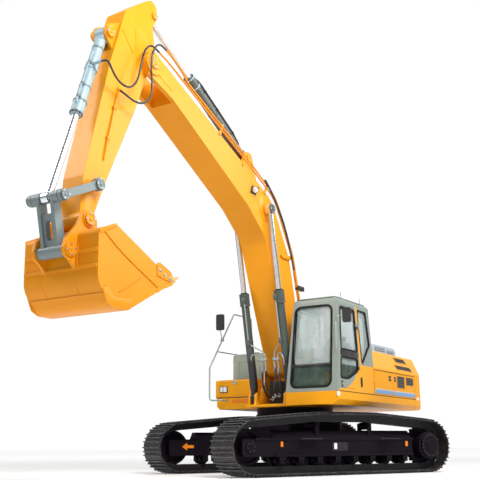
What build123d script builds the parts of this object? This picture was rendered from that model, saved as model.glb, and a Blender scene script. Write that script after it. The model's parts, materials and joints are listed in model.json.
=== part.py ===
# Crawler excavator, 36 t class. Millimetres, +Z up, -Y to the front of the upper structure,
# +X to its left. It is modelled about the swing axis at ground level, and moved at the end so
# that the origin is the middle of the bottom of the whole machine's box.
from build123d import *
from math import atan2, cos, degrees, hypot, pi, radians, sin, sqrt, tan
import os

# ---------------------------------------------------------------- driving dimensions
swing_angle = 25.4            # how far the upper structure is turned from straight ahead
pin_gap = 0.3                 # radial clearance between a pin or shaft and its bore
side_gap = 5.0                # clearance between faces that move past each other
bearing_gap = 0.3             # between the halves of the slew ring
hinge_gap = 3.0               # round the knuckles of doors and lids

# undercarriage, tracks along Y
track_gauge = 2590.0
shoe_width = 700.0
shoe_count = 49
shoe_plate = 14.0
grouser_height = 36.0
grouser_width = 16.0
grousers_per_shoe = 3
link_height = 120.0
link_pin_height = 62.0        # from the rail up to the link pin
link_thickness = 46.0
link_spread = 92.0            # between the two rows of links
idler_y = -2020.0
sprocket_y = 2020.0
idler_wrap = 377.0            # radius of the link pins round the idler
sprocket_wrap = 386.0
carrier_run_z = 982.0         # height of the link pins over the carrier rollers
carrier_places = (-580.0, 640.0)
carrier_radius = 66.0
roller_count = 8
roller_pitch = 405.0
roller_radius = 90.0
frame_half_width = 200.0
frame_bottom_z = 330.0
frame_edge_z = 600.0
frame_ridge_z = 770.0
frame_front_y = -1540.0
frame_rear_y = 1650.0
frame_wall = 25.0
ring_radius = 742.0
ring_bore = 560.0
ring_bottom_z = 1090.0
deck_bottom_z = 1212.0

# upper structure
deck_half_width = 1530.0
deck_top_z = 1441.0
deck_floor = 28.0
deck_wall = 20.0
deck_chamfer = 90.0           # along the lower outer edges
cab_front_y = -1240.0
cab_rear_y = 375.0
cab_inner_x = 485.0
cab_roof_z = 3150.0
cab_wall = 50.0
cab_front_lean = 186.0        # set back of the roof's front edge
cab_side_lean = 58.0          # and of its left edge
toolbox_front_y = -505.0
toolbox_inner_x = -620.0
toolbox_top_z = 1790.0
tank_front_y = 120.0
tank_rear_y = 1180.0
shoulder_z = 1960.0           # where the side of the housing starts to lean in
housing_top_z = 2360.0
housing_top_half = 1250.0
housing_front_y = 405.0
housing_wall = 25.0
counterweight_front_y = 2640.0
tail_y = 3400.0
tail_corner_x = 1230.0
tail_corner_y = 2930.0
counterweight_bottom_z = 1232.0
lifting_bore_x = 900.0
lifting_bore_y = 2950.0
lifting_bore_radius = 30.0
lifting_bore_depth = 120.0

# pins of the working arm, as (y, z) at rest
boom_foot = (-354.0, 1952.0)
boom_cylinder_foot = (-866.0, 1384.0)
boom_cylinder_eye = (-1541.0, 4853.0)
arm_cylinder_foot = (-1874.0, 5821.0)
arm_pin = (-5031.0, 6424.0)
arm_cylinder_eye = (-4826.0, 7404.0)
bucket_cylinder_foot = (-5915.0, 6620.0)
lever_pin = (-6182.0, 4089.0)
link_pin = (-6861.0, 3760.0)
bucket_pin = (-6372.0, 3535.0)
bucket_link_pin = (-6698.0, 3051.0)

boom_half_width = 280.0
arm_half_width = 190.0
boom_plate = 14.0
arm_plate = 12.0
fork_plate = 50.0             # bucket ears
fork_gap = 10.0               # between the arm and the boom tip's cheeks
boom_slot_y = -4430.0         # root of the boom tip's fork
pipe_radius = 16.0            # hard oil pipes
hose_radius = 17.0            # free oil hoses
rail_radius = 17.0            # handrail
bucket_half_width = 678.0
bucket_plate = 25.0


# ---------------------------------------------------------------- helpers
def outline(points):
    # Closed face in the XY plane from (x, y) or (x, y, corner radius) points.
    corners = [Vector(p[0], p[1]) for p in points]
    radii = [p[2] if len(p) > 2 else 0.0 for p in points]
    count = len(corners)
    runs = []
    for i in range(count):
        before, here, after = corners[i - 1], corners[i], corners[(i + 1) % count]
        to_before = (before - here).normalized()
        to_after = (after - here).normalized()
        half = radians(to_before.get_angle(to_after)) / 2
        if radii[i] == 0.0:
            runs.append((here, None, here))
            continue
        reach = radii[i] / tan(half)
        middle = (to_before + to_after).normalized()
        crown = here + middle * (radii[i] / sin(half) - radii[i])
        runs.append((here + to_before * reach, crown, here + to_after * reach))
    edges = []
    for i in range(count):
        start, crown, end = runs[i]
        if crown is not None:
            edges.append(ThreePointArc(start, crown, end))
        following = runs[(i + 1) % count][0]
        if (following - end).length > 0.001:
            edges.append(Line(end, following))
    return make_face(edges)


def plate(points, x_from, x_to):
    # Side outline in (y, z), made solid from x_from to x_to.
    return extrude(Plane.YZ.offset(x_from) * outline(points), amount=x_to - x_from)


def wall(points, y_from, y_to):
    # Front outline in (x, z), made solid from y_from to y_to.
    flat = Plane((0, y_from, 0), x_dir=(1, 0, 0), z_dir=(0, -1, 0)) * outline(points)
    return extrude(flat, amount=y_from - y_to)


def slab(points, z_from, z_to):
    # Plan outline in (x, y), made solid from z_from to z_to.
    return extrude(Pos(0, 0, z_from) * outline(points), amount=z_to - z_from)


def block(x_from, x_to, y_from, y_to, z_from, z_to):
    centre = Pos((x_from + x_to) / 2, (y_from + y_to) / 2, (z_from + z_to) / 2)
    return centre * Box(abs(x_to - x_from), abs(y_to - y_from), abs(z_to - z_from))


def rod_x(radius, y, z, x_from, x_to):
    return Pos((x_from + x_to) / 2, y, z) * Rot(0, 90, 0) * Cylinder(radius, abs(x_to - x_from))


def rod_at(pin, radius, x_from, x_to):
    return rod_x(radius, pin[0], pin[1], x_from, x_to)


def mirrored(shape):
    return mirror(shape, Plane.YZ)


def both_sides(shape):
    return shape + mirrored(shape)


def offset_points(points, distance):
    # The same corners moved inward by distance; the outline runs counter-clockwise.
    moved = []
    count = len(points)
    for i in range(count):
        before, here, after = points[i - 1], points[i], points[(i + 1) % count]
        a = atan2(here[1] - before[1], here[0] - before[0])
        b = atan2(after[1] - here[1], after[0] - here[0])
        turn = (b - a + pi) % (2 * pi) - pi
        reach = distance / cos(turn / 2)
        direction = a + turn / 2 + pi / 2
        radius = max(here[2] - distance, 5.0) if len(here) > 2 and here[2] > 0 else 0.0
        moved.append((here[0] + reach * cos(direction), here[1] + reach * sin(direction), radius))
    return moved


def girder(points, half_width, skin):
    # Closed plate girder with the side outline given counter-clockwise in (y, z).
    outside = plate(points, -half_width, half_width)
    inside = plate(offset_points(points, skin), -half_width + skin, half_width - skin)
    return outside - inside


def between(a, b):
    return hypot(b[0] - a[0], b[1] - a[1])


def along(a, b, distance):
    share = distance / between(a, b)
    return (a[0] + (b[0] - a[0]) * share, a[1] + (b[1] - a[1]) * share)


def bar(a, b, radius, start, end, x=0.0):
    # Round bar on the line from pin a towards pin b, between two distances from a.
    p = along(a, b, start)
    q = along(a, b, end)
    axis = Vector(0, q[0] - p[0], q[1] - p[1])
    centre = Vector(x, (p[0] + q[0]) / 2, (p[1] + q[1]) / 2)
    return Plane(centre, z_dir=axis.normalized()) * Cylinder(radius, axis.length)


def tube_along(points, radius, bend):
    # Round bar through the points, with the same bend radius at each corner.
    path = FilletPolyline(*points, radius=bend)
    start = Plane(path @ 0, z_dir=path % 0)
    return sweep(start * Circle(radius), path=path)


def rod_along(a, b, radius):
    # Round bar between two points in space.
    a, b = Vector(*a), Vector(*b)
    return Plane((a + b) / 2, z_dir=(b - a).normalized()) * Cylinder(radius, (b - a).length)


def barrel_hinge(place, direction, radius, pin_radius, starts, knuckle):
    # Knuckles on the line from place along direction: each pair is a fixed one, then a moving one.
    # Gives the fixed knuckles with their pins, the moving knuckles, and the room round each kind.
    hinge = dict(fixed=[], moving=[], room_for_fixed=[], room_for_moving=[])
    line = Plane(place, z_dir=direction)
    for start in starts:
        middle = start + knuckle / 2
        following = middle + knuckle + 1
        here, there = line * Pos(0, 0, middle), line * Pos(0, 0, following)
        sleeve = Cylinder(radius, knuckle) - Cylinder(pin_radius + pin_gap, knuckle)
        room = Cylinder(radius + hinge_gap, knuckle + 2 * hinge_gap)
        hinge["fixed"].append(here * Cylinder(radius, knuckle))
        hinge["fixed"].append(line * Pos(0, 0, (middle + following) / 2) * Cylinder(pin_radius, 2 * knuckle + 1))
        hinge["moving"].append(there * sleeve)
        hinge["room_for_fixed"].append(here * room)
        hinge["room_for_moving"].append(there * room)
    return hinge


nodes = {}


def keep(name, shape):
    nodes[name] = shape


def turned(shape):
    # The undercarriage stands turned under the upper structure.
    return Rot(0, 0, -swing_angle) * shape


# ---------------------------------------------------------------- undercarriage
ground_to_pin = grouser_height + shoe_plate + link_height - link_pin_height
idler_z = ground_to_pin + idler_wrap
sprocket_z = ground_to_pin + sprocket_wrap
rail_inner_z = ground_to_pin + link_pin_height
carrier_wrap = carrier_radius + link_pin_height + 4.0
carrier_z = carrier_run_z - carrier_wrap


def pin_path():
    # The taut line of the link pins round idler, sprocket and carrier rollers.
    circles = [Pos(idler_y, idler_z) * CenterArc((0, 0), idler_wrap, 0, 360),
               Pos(sprocket_y, sprocket_z) * CenterArc((0, 0), sprocket_wrap, 0, 360)]
    for y in carrier_places:
        circles.append(Pos(y, carrier_z) * CenterArc((0, 0), carrier_wrap, 0, 360))
    hull = make_hull([edge for circle in circles for edge in circle.edges()])
    return hull.wires()[0]


def track_pins():
    path = pin_path()
    return [path.position_at(i / shoe_count) for i in range(shoe_count)]


def ring_face(pins, profile):
    # profile lists (share along the link, height outside the pins) for each link in turn.
    points = []
    middle = sum(pins, Vector(0, 0)) / len(pins)
    for i, pin in enumerate(pins):
        following = pins[(i + 1) % len(pins)]
        chord = following - pin
        out = Vector(chord.Y, -chord.X).normalized()
        if (pin + out - middle).length < (pin - middle).length:
            out = out * -1
        for share, height in profile:
            point = pin + chord * share + out * height
            points.append((point.X, point.Y))
    return outline(points)


def track(side):
    pins = track_pins()
    pitch = (pins[1] - pins[0]).length
    shoe_low = link_height - link_pin_height
    shoe_high = shoe_low + shoe_plate
    tip = shoe_high + grouser_height
    half = grouser_width / 2 / pitch
    shoe_profile = [(0.02, shoe_high)]
    for i in range(grousers_per_shoe):
        place = 0.14 + 0.36 * i
        shoe_profile += [(place - 1.5 * half, shoe_high), (place - half, tip),
                         (place + half, tip), (place + 1.5 * half, shoe_high)]
    shoe_profile.append((0.98, shoe_high))
    shoes = ring_face(pins, shoe_profile) - ring_face(pins, [(0.03, shoe_low), (0.97, shoe_low)])
    links = ring_face(pins, [(0.05, shoe_low + 5), (0.95, shoe_low + 5)])
    links -= ring_face(pins, [(0.11, -link_pin_height), (0.89, -link_pin_height)])
    centre = side * track_gauge / 2
    half_shoe = shoe_width / 2
    loop = extrude(Plane.YZ.offset(centre - half_shoe) * shoes, amount=shoe_width)
    for row in (-1, 1):
        start = centre + row * (link_spread + link_thickness) / 2 - link_thickness / 2
        loop += extrude(Plane.YZ.offset(start) * links, amount=link_thickness)
    return loop


def wheel_radius(wrap):
    # Radius that just clears the flats of the rails on a wrap of link pins.
    pins = track_pins()
    pitch = (pins[1] - pins[0]).length
    return sqrt(wrap ** 2 - (pitch / 2) ** 2) - link_pin_height - 1.0


def track_frame(side):
    centre = side * track_gauge / 2
    half = frame_half_width
    flank = [(-half, frame_bottom_z), (half, frame_bottom_z), (half, frame_edge_z),
             (70, frame_ridge_z), (-70, frame_ridge_z), (-half, frame_edge_z)]
    beam = Pos(centre, 0, 0) * wall(flank, frame_front_y, frame_rear_y)
    tunnel_top = rail_inner_z + 2 * roller_radius + 30
    beam -= block(centre - half + 60, centre + half - 60, frame_front_y - 1, frame_rear_y + 1,
                  frame_bottom_z - 1, tunnel_top)
    cavity = [(-half + frame_wall, tunnel_top + frame_wall), (half - frame_wall, tunnel_top + frame_wall),
              (half - frame_wall, frame_edge_z - 12), (60, frame_ridge_z - frame_wall),
              (-60, frame_ridge_z - frame_wall), (-half + frame_wall, frame_edge_z - 12)]
    beam -= Pos(centre, 0, 0) * wall(cavity, frame_front_y + 60, frame_rear_y - 60)
    yoke = [(frame_front_y, frame_bottom_z), (frame_front_y, frame_edge_z + 20),
            (idler_y - 170, frame_edge_z + 20, 40), (idler_y - 170, frame_bottom_z, 60)]
    cheeks = plate(yoke, centre + 120, centre + half) + plate(yoke, centre - half, centre - 120)
    cheeks -= rod_x(45 + pin_gap, idler_y, idler_z, centre - half - 1, centre + half + 1)
    motor_plate = [(frame_rear_y - 1, frame_bottom_z + 20), (sprocket_y, frame_bottom_z - 90, 120),
                   (sprocket_y + 260, sprocket_z - 60, 120), (sprocket_y + 260, sprocket_z + 120, 120),
                   (sprocket_y, frame_edge_z + 140, 120), (frame_rear_y - 1, frame_edge_z)]
    inner = centre - side * half
    rear = plate(motor_plate, min(inner, inner + side * 45), max(inner, inner + side * 45))
    body = beam + cheeks + rear
    for y in carrier_places:
        for place in (-150, 125):
            body += block(centre + place, centre + place + 25, y - 45, y + 45, frame_edge_z - 20, carrier_z + 50)
    for y in carrier_places:
        body -= rod_x(30 + pin_gap, y, carrier_z, centre - 200, centre + 200)
    return body


def idler(side):
    centre = side * track_gauge / 2
    radius = wheel_radius(idler_wrap)
    wheel = rod_x(radius, idler_y, idler_z, centre - 90, centre + 90)
    for row in (-1, 1):
        wheel -= rod_x(radius - 45, idler_y, idler_z, centre + row * 35, centre + row * 91)
    wheel += rod_x(radius + 22, idler_y, idler_z, centre - 38, centre + 38)
    wheel += rod_x(95, idler_y, idler_z, centre - 112, centre + 112)
    return wheel + rod_x(45, idler_y, idler_z, centre - frame_half_width, centre + frame_half_width)


def sprocket(side):
    centre = side * track_gauge / 2
    tooth_count = 21
    root = wheel_radius(sprocket_wrap) + 20
    disc = rod_x(root, sprocket_y, sprocket_z, centre - 35, centre + 35)
    tooth = [(-38, root - 12), (38, root - 12), (20, root + 42, 12), (-20, root + 42, 12)]
    for i in range(tooth_count):
        blade = extrude(Plane.YZ.offset(centre - 35) * Rot(0, 0, 360 * i / tooth_count) * outline(tooth),
                        amount=70)
        disc += Pos(0, sprocket_y, sprocket_z) * blade
    return disc - rod_x(225 + pin_gap, sprocket_y, sprocket_z, centre - 40, centre + 40)


def final_drive(side):
    centre = side * track_gauge / 2
    inner = centre - side * (frame_half_width - 45)
    flange = centre - side * 35
    outer = centre + side * 300
    drive = rod_x(225, sprocket_y, sprocket_z, min(flange, outer), max(flange, outer))
    drive += rod_x(262, sprocket_y, sprocket_z, min(inner, flange), max(inner, flange))
    drive += rod_x(250, sprocket_y, sprocket_z, min(centre + side * 110, outer - side * 40),
                   max(centre + side * 110, outer - side * 40))
    return drive


def rollers(side):
    centre = side * track_gauge / 2
    axle_z = rail_inner_z + pin_gap + roller_radius
    group = []
    for i in range(roller_count):
        y = (i - (roller_count - 1) / 2) * roller_pitch + 40
        wheel = rod_x(roller_radius, y, axle_z, centre - 120, centre + 120)
        wheel -= rod_x(roller_radius + 1, y, axle_z, centre - 32, centre + 32)
        wheel += rod_x(roller_radius - 30, y, axle_z, centre - 121, centre + 121)
        wheel += rod_x(35, y, axle_z, centre - 170, centre + 170)
        for row in (-1, 1):
            collar = centre + row * 160
            wheel += block(collar - 38, collar + 38, y - 55, y + 55, axle_z - 45, frame_bottom_z)
        group.append(wheel)
    return Compound(group)


def carriers(side):
    centre = side * track_gauge / 2
    group = []
    for y in carrier_places:
        wheel = rod_x(carrier_radius, y, carrier_z, centre - 110, centre + 110)
        wheel += rod_x(30, y, carrier_z, centre - 165, centre + 165)
        group.append(wheel)
    return Compound(group)


def car_body():
    inner = track_gauge / 2 - frame_half_width
    core = slab([(-700, -640, 120), (700, -640, 120), (700, 640, 120), (-700, 640, 120)], 500, 960)
    hollow = slab([(-670, -610, 90), (670, -610, 90), (670, 610, 90), (-670, 610, 90)], 530, 930)
    body = core - hollow
    body += Pos(0, 0, (930 + ring_bottom_z) / 2) * Cylinder(ring_radius + 20, ring_bottom_z - 930)
    for x_side in (-1, 1):
        for y_side in (-1, 1):
            leg = [(x_side * 600, y_side * 250), (x_side * 600, y_side * 620),
                   (x_side * inner, y_side * 1000), (x_side * inner, y_side * 560)]
            body += slab(leg, 520, 740)
    body -= Pos(0, 0, 1000) * Cylinder(ring_bore - 60, 400)
    return body


# ---------------------------------------------------------------- upper structure
deck_left = [(cab_inner_x, cab_front_y), (deck_half_width, cab_front_y, 60),
             (deck_half_width, counterweight_front_y), (cab_inner_x, counterweight_front_y)]
deck_right = [(-deck_half_width, toolbox_front_y, 60), (-cab_inner_x, toolbox_front_y),
              (-cab_inner_x, counterweight_front_y), (-deck_half_width, counterweight_front_y)]
bracket_inner = 290.0
bracket_plate = 50.0
cylinder_x = 385.0
outer_bracket_x = 432.0
centre_front_y = -1040.0


def hollow_deck(points):
    skin = offset_points(points, deck_wall)
    cavity = slab(skin, deck_bottom_z + deck_floor, deck_top_z - deck_wall)
    reach = deck_half_width - deck_chamfer - deck_wall
    cavity = cavity & block(-reach, reach, cab_front_y, counterweight_front_y, deck_bottom_z, deck_top_z)
    return slab(points, deck_bottom_z, deck_top_z) - cavity


def revolving_frame():
    frame = hollow_deck(deck_left) + hollow_deck(deck_right)
    for side in (-1, 1):
        outer = side * deck_half_width
        edge = [(outer, deck_bottom_z), (outer - side * deck_chamfer, deck_bottom_z),
                (outer, deck_bottom_z + deck_chamfer)]
        frame -= wall(edge, cab_front_y - 10, counterweight_front_y + 10)
    frame += block(-cab_inner_x, cab_inner_x, centre_front_y, counterweight_front_y,
                   deck_bottom_z, deck_bottom_z + 50)
    main = [(centre_front_y + 40, deck_bottom_z + 50), (counterweight_front_y - 40, deck_bottom_z + 50),
            (counterweight_front_y - 40, deck_top_z), (housing_front_y - 40, deck_top_z),
            (boom_foot[0] + 260, boom_foot[1] - 120, 60), (boom_foot[0] + 130, boom_foot[1] + 150, 120),
            (boom_foot[0] - 150, boom_foot[1] + 150, 130),
            (boom_cylinder_foot[0] + 126, boom_cylinder_foot[1] + 106, 40),
            (boom_cylinder_foot[0] - 94, boom_cylinder_foot[1] + 106, 90),
            (boom_cylinder_foot[0] - 119, boom_cylinder_foot[1] - 84, 40)]
    lug = [(boom_cylinder_foot[0] - 130, deck_bottom_z + 50), (boom_cylinder_foot[0] + 260, deck_bottom_z + 50),
           (boom_cylinder_foot[0] + 120, boom_cylinder_foot[1] + 110, 90),
           (boom_cylinder_foot[0] - 110, boom_cylinder_foot[1] + 110, 100)]
    plates = plate(main, bracket_inner, bracket_inner + bracket_plate)
    plates += plate(lug, outer_bracket_x, outer_bracket_x + 30)
    plates += rod_at(boom_cylinder_foot, 50, bracket_inner, outer_bracket_x + 45)
    frame += both_sides(plates)
    frame += rod_at(boom_foot, 55, -bracket_inner - bracket_plate - 15, bracket_inner + bracket_plate + 15)
    race = Pos(0, 0, deck_bottom_z) * Cylinder(ring_radius - 50, 2)
    return frame + race - Pos(0, 0, deck_bottom_z) * Cylinder(ring_bore - 60, 160)


def slew_ring():
    height = deck_bottom_z - 1 - bearing_gap - ring_bottom_z
    middle = Pos(0, 0, ring_bottom_z + height / 2)
    return middle * (Cylinder(ring_radius, height) - Cylinder(ring_bore, height))


side_profile = [(-deck_half_width, deck_top_z), (deck_half_width, deck_top_z),
                (deck_half_width, shoulder_z, 60), (housing_top_half, housing_top_z, 60),
                (-housing_top_half, housing_top_z, 60), (-deck_half_width, shoulder_z, 60)]


def counterweight():
    low = [(-deck_half_width, counterweight_bottom_z + 60), (-deck_half_width + 60, counterweight_bottom_z),
           (deck_half_width - 60, counterweight_bottom_z), (deck_half_width, counterweight_bottom_z + 60)]
    section = low + side_profile[2:]
    mass = wall(section, counterweight_front_y, tail_y)
    plan = [(-deck_half_width, counterweight_front_y), (deck_half_width, counterweight_front_y),
            (deck_half_width, tail_corner_y, 120), (tail_corner_x, tail_y - 110, 260), (500, tail_y, 1500),
            (-500, tail_y, 1500), (-tail_corner_x, tail_y - 110, 260), (-deck_half_width, tail_corner_y, 120)]
    mass = mass & slab(plan, counterweight_bottom_z - 1, housing_top_z + 1)
    back = [(counterweight_front_y - 1, counterweight_bottom_z - 1), (tail_y - 120, counterweight_bottom_z - 1),
            (tail_y + 1, counterweight_bottom_z + 260, 150), (tail_y + 1, 2060, 150),
            (tail_y - 160, housing_top_z + 1), (counterweight_front_y - 1, housing_top_z + 1)]
    mass = mass & plate(back, -deck_half_width - 1, deck_half_width + 1)
    lower = block(-deck_half_width - 1, deck_half_width + 1, counterweight_front_y - 1, counterweight_front_y + 60,
                  counterweight_bottom_z - 1, deck_top_z - 60)
    mass -= lower & block(-900, 900, 0, 4000, 0, 4000)
    for x in (-lifting_bore_x, lifting_bore_x):
        mass -= Pos(x, lifting_bore_y, housing_top_z) * Cylinder(lifting_bore_radius, 2 * lifting_bore_depth)
    return mass


# openings in the machinery housing: name, side, front y, rear y, hinge at the front
side_doors = (("left_front_door", 1, 440.0, 1370.0, True),
              ("left_rear_door", 1, 1400.0, 2600.0, False),
              ("right_rear_door", -1, 1400.0, 2600.0, False))
door_knuckle = 60.0
door_knuckle_radius = 9.0
door_pin_radius = 4.0
door_hinge_places = (120.0, 300.0)        # up from the opening's lower edge
door_low_z = deck_top_z + 25
door_high_z = shoulder_z - 45
hood_x = (-600.0, 1150.0)
hood_y = (1270.0, 2600.0)
hood_top_z = 2530.0
hood_lip = 40.0
housing_inner_x = -cab_inner_x - 120.0    # side of the housing beside the tank
hood_knuckle = 70.0
hood_knuckle_radius = 9.0
hood_pin_radius = 4.0
hood_hinge_places = (250.0, 1350.0)       # along X from the hood's right edge
hood_hinge_y = hood_y[0] - 14.0
hood_hinge_z = housing_top_z + 12.0


def hood_hinge():
    return barrel_hinge((hood_x[0], hood_hinge_y, hood_hinge_z), (1, 0, 0), hood_knuckle_radius,
                        hood_pin_radius, hood_hinge_places, hood_knuckle)


def side_door_hinge(side, front, rear, hinge_front):
    hinge_y = front + side_gap if hinge_front else rear - side_gap
    return barrel_hinge((side * deck_half_width, hinge_y, door_low_z), (0, 0, 1), door_knuckle_radius,
                        door_pin_radius, door_hinge_places, door_knuckle)


def housing():
    shell = wall(side_profile, housing_front_y, counterweight_front_y)
    inner = offset_points(side_profile, housing_wall)
    inner[0] = (-deck_half_width + housing_wall, deck_top_z - 1)
    inner[1] = (deck_half_width - housing_wall, deck_top_z - 1)
    shell -= wall(inner, housing_front_y + housing_wall, counterweight_front_y - housing_wall)
    for name, side, front, rear, hinge_front in side_doors:
        shell -= block(side * (deck_half_width - 60), side * (deck_half_width + 10), front, rear,
                       door_low_z, door_high_z)
    shell -= block(hood_x[0] + hood_lip, hood_x[1] - hood_lip, hood_y[0] + hood_lip, hood_y[1] - hood_lip,
                   housing_top_z - 60, housing_top_z + 10)
    shell -= block(-deck_half_width - 10, housing_inner_x - housing_wall / 2, housing_front_y - 10,
                   tank_rear_y + side_gap, deck_top_z - 1, housing_top_z + 10)
    bulkhead_y = tank_rear_y + side_gap
    bulkhead = wall(side_profile, bulkhead_y, bulkhead_y + housing_wall)
    bulkhead = bulkhead & block(-deck_half_width, housing_inner_x, bulkhead_y, bulkhead_y + housing_wall,
                                deck_top_z, housing_top_z)
    closing = bulkhead + block(housing_inner_x - housing_wall, housing_inner_x, housing_front_y,
                               bulkhead_y + housing_wall, deck_top_z, housing_top_z - housing_wall / 2)
    shell += closing
    for name, side, front, rear, hinge_front in side_doors:
        hinge = side_door_hinge(side, front, rear, hinge_front)
        for piece in hinge["room_for_moving"]:
            shell -= piece
        for piece in hinge["fixed"]:
            shell += piece
    for piece in hood_hinge()["fixed"]:
        shell += piece
    for start in hood_hinge_places:
        shell += block(hood_x[0] + start, hood_x[0] + start + hood_knuckle, hood_hinge_y - hood_knuckle_radius,
                       hood_hinge_y + 2, housing_top_z - housing_wall / 2, hood_hinge_z)
    return shell


def side_door(side, front, rear, hinge_front):
    skin = block(side * (deck_half_width - housing_wall), side * deck_half_width, front + side_gap,
                 rear - side_gap, door_low_z + side_gap, door_high_z - side_gap)
    hinge = side_door_hinge(side, front, rear, hinge_front)
    for piece in hinge["room_for_fixed"]:
        skin -= piece
    hinge_y = front + side_gap if hinge_front else rear - side_gap
    for start in door_hinge_places:
        middle = door_low_z + start + 1.5 * door_knuckle + 1
        skin -= Pos(side * deck_half_width, hinge_y, middle) * Cylinder(door_pin_radius + pin_gap, door_knuckle + 2)
    for piece in hinge["moving"]:
        skin += piece
    return skin


def engine_hood():
    height = hood_top_z - housing_top_z - 1
    plan = [(hood_x[0], hood_y[0], 60), (hood_x[1], hood_y[0], 60), (hood_x[1], hood_y[1], 60),
            (hood_x[0], hood_y[1], 60)]
    solid = slab(plan, housing_top_z + 1, hood_top_z)
    slope = [(hood_y[0] - 1, housing_top_z), (hood_y[1] + 100, housing_top_z), (hood_y[1] - 130, hood_top_z, 50),
             (hood_y[0] + 20, hood_top_z, 50), (hood_y[0] - 1, housing_top_z + 60)]
    solid = solid & plate(slope, hood_x[0] - 1, hood_x[1] + 1)
    void = slab(offset_points(plan, 18), housing_top_z, hood_top_z - 18)
    void = void & plate([(y, z - 18) for y, z in ((hood_y[0] - 1, housing_top_z), (hood_y[1] + 60, housing_top_z),
                                                 (hood_y[1] - 150, hood_top_z), (hood_y[0] - 1, hood_top_z))],
                        hood_x[0] - 1, hood_x[1] + 1)
    shell = solid - void
    for start in hood_hinge_places:
        leaf_x = hood_x[0] + start + hood_knuckle + 1
        leaf = block(leaf_x, leaf_x + hood_knuckle, hood_hinge_y, hood_y[0] + 12, hood_hinge_z - 4, hood_hinge_z + 4)
        shell += leaf - rod_x(hood_pin_radius + pin_gap, hood_hinge_y, hood_hinge_z, leaf_x - 1,
                              leaf_x + hood_knuckle + 1)
    for piece in hood_hinge()["moving"]:
        shell += piece
    return shell


def tank():
    shape = [(-deck_half_width + 20, deck_top_z), (-cab_inner_x - 155, deck_top_z),
             (-cab_inner_x - 155, housing_top_z, 60), (-deck_half_width + 20, housing_top_z, 60)]
    return wall(shape, tank_front_y, tank_rear_y)


toolbox_rear_y = tank_front_y - 25.0
toolbox_wall = 20.0
lid_seam_z = toolbox_top_z - 40.0
lid_knuckle = 60.0
lid_knuckle_radius = 7.0
lid_pin_radius = 3.5
lid_hinge_places = (120.0, 680.0)         # along X from the toolbox's right side
lid_hinge_y = toolbox_rear_y + 11.0
lid_hinge_z = toolbox_top_z - 8.0


def lid_hinge():
    return barrel_hinge((-deck_half_width, lid_hinge_y, lid_hinge_z), (1, 0, 0), lid_knuckle_radius,
                        lid_pin_radius, lid_hinge_places, lid_knuckle)


def toolbox():
    side = [(toolbox_front_y, deck_top_z), (toolbox_rear_y, deck_top_z),
            (toolbox_rear_y, lid_seam_z), (toolbox_front_y, lid_seam_z)]
    shell = plate(side, -deck_half_width, toolbox_inner_x)
    shell -= block(-deck_half_width + toolbox_wall, toolbox_inner_x - toolbox_wall,
                   toolbox_front_y + toolbox_wall, toolbox_rear_y - toolbox_wall,
                   deck_top_z + toolbox_wall, toolbox_top_z)
    for start in lid_hinge_places:
        leg_x = -deck_half_width + start
        shell += block(leg_x, leg_x + lid_knuckle, toolbox_rear_y - 5, lid_hinge_y, lid_seam_z - 50, lid_seam_z - 10)
        shell += block(leg_x, leg_x + lid_knuckle, lid_hinge_y - lid_knuckle_radius, lid_hinge_y,
                       lid_seam_z - 50, lid_hinge_z)
    for piece in lid_hinge()["fixed"]:
        shell += piece
    return shell


def toolbox_lid():
    side = [(toolbox_front_y, lid_seam_z + 1), (toolbox_rear_y, lid_seam_z + 1),
            (toolbox_rear_y, toolbox_top_z), (toolbox_front_y, toolbox_top_z, 35)]
    lid = plate(side, -deck_half_width, toolbox_inner_x)
    for start in lid_hinge_places:
        leaf_x = -deck_half_width + start + lid_knuckle + 1
        leaf = block(leaf_x, leaf_x + lid_knuckle, toolbox_rear_y - 5, lid_hinge_y, lid_hinge_z - 4, lid_hinge_z + 4)
        lid += leaf - rod_x(lid_pin_radius + pin_gap, lid_hinge_y, lid_hinge_z, leaf_x - 1, leaf_x + lid_knuckle + 1)
    for piece in lid_hinge()["moving"]:
        lid += piece
    return lid


# cab, in (y, z) from the side and (x, z) from the front
cab_side = [(cab_front_y, deck_top_z), (cab_rear_y, deck_top_z), (cab_rear_y, 2050),
            (cab_rear_y - 10, cab_roof_z, 90), (cab_front_y + cab_front_lean, cab_roof_z, 90)]
cab_front = [(cab_inner_x, deck_top_z), (deck_half_width, deck_top_z), (deck_half_width, 2050),
             (deck_half_width - cab_side_lean, cab_roof_z, 80), (cab_inner_x + 119, cab_roof_z, 80)]
door_rear_y = -290.0
door_low = deck_top_z + 60
door_high = cab_roof_z - 135
front_lean = cab_front_lean / (cab_roof_z - deck_top_z)


def front_y(z):
    return cab_front_y + (z - deck_top_z) * front_lean


door_outline = [(front_y(door_low) + 75, door_low), (-430, door_low, 60), (door_rear_y, door_low + 230, 90),
                (door_rear_y, door_high, 50), (front_y(door_high) + 75, door_high, 60)]
door_window_high = [(front_y(2190) + 125, 2190), (door_rear_y - 40, 2190), (door_rear_y - 40, door_high - 45, 40),
                    (front_y(door_high) + 125, door_high - 45, 60)]
door_window_low = [(front_y(1680) + 115, 1680, 40), (-750, 1680, 70), (door_rear_y - 60, 1850, 60),
                   (door_rear_y - 60, 2050, 40), (front_y(2050) + 115, 2050, 40)]
quarter_window = [(-175, 2030, 30), (-110, 1985, 30), (275, 2370, 50), (215, cab_roof_z - 145, 50),
                  (-175, cab_roof_z - 145, 50)]
screen_left_x = deck_half_width - 145     # edges of the windscreen
screen_right_x = cab_inner_x + 105
windscreen_high = [(screen_right_x, 1930, 40), (screen_left_x, 1930, 40), (screen_left_x - 5, cab_roof_z - 160, 90),
                   (screen_right_x + 60, cab_roof_z - 160, 110)]
windscreen_low = [(screen_right_x, 1530, 90), (screen_left_x, 1530, 90), (screen_left_x, 1900, 30),
                  (screen_right_x, 1900, 30)]
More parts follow.
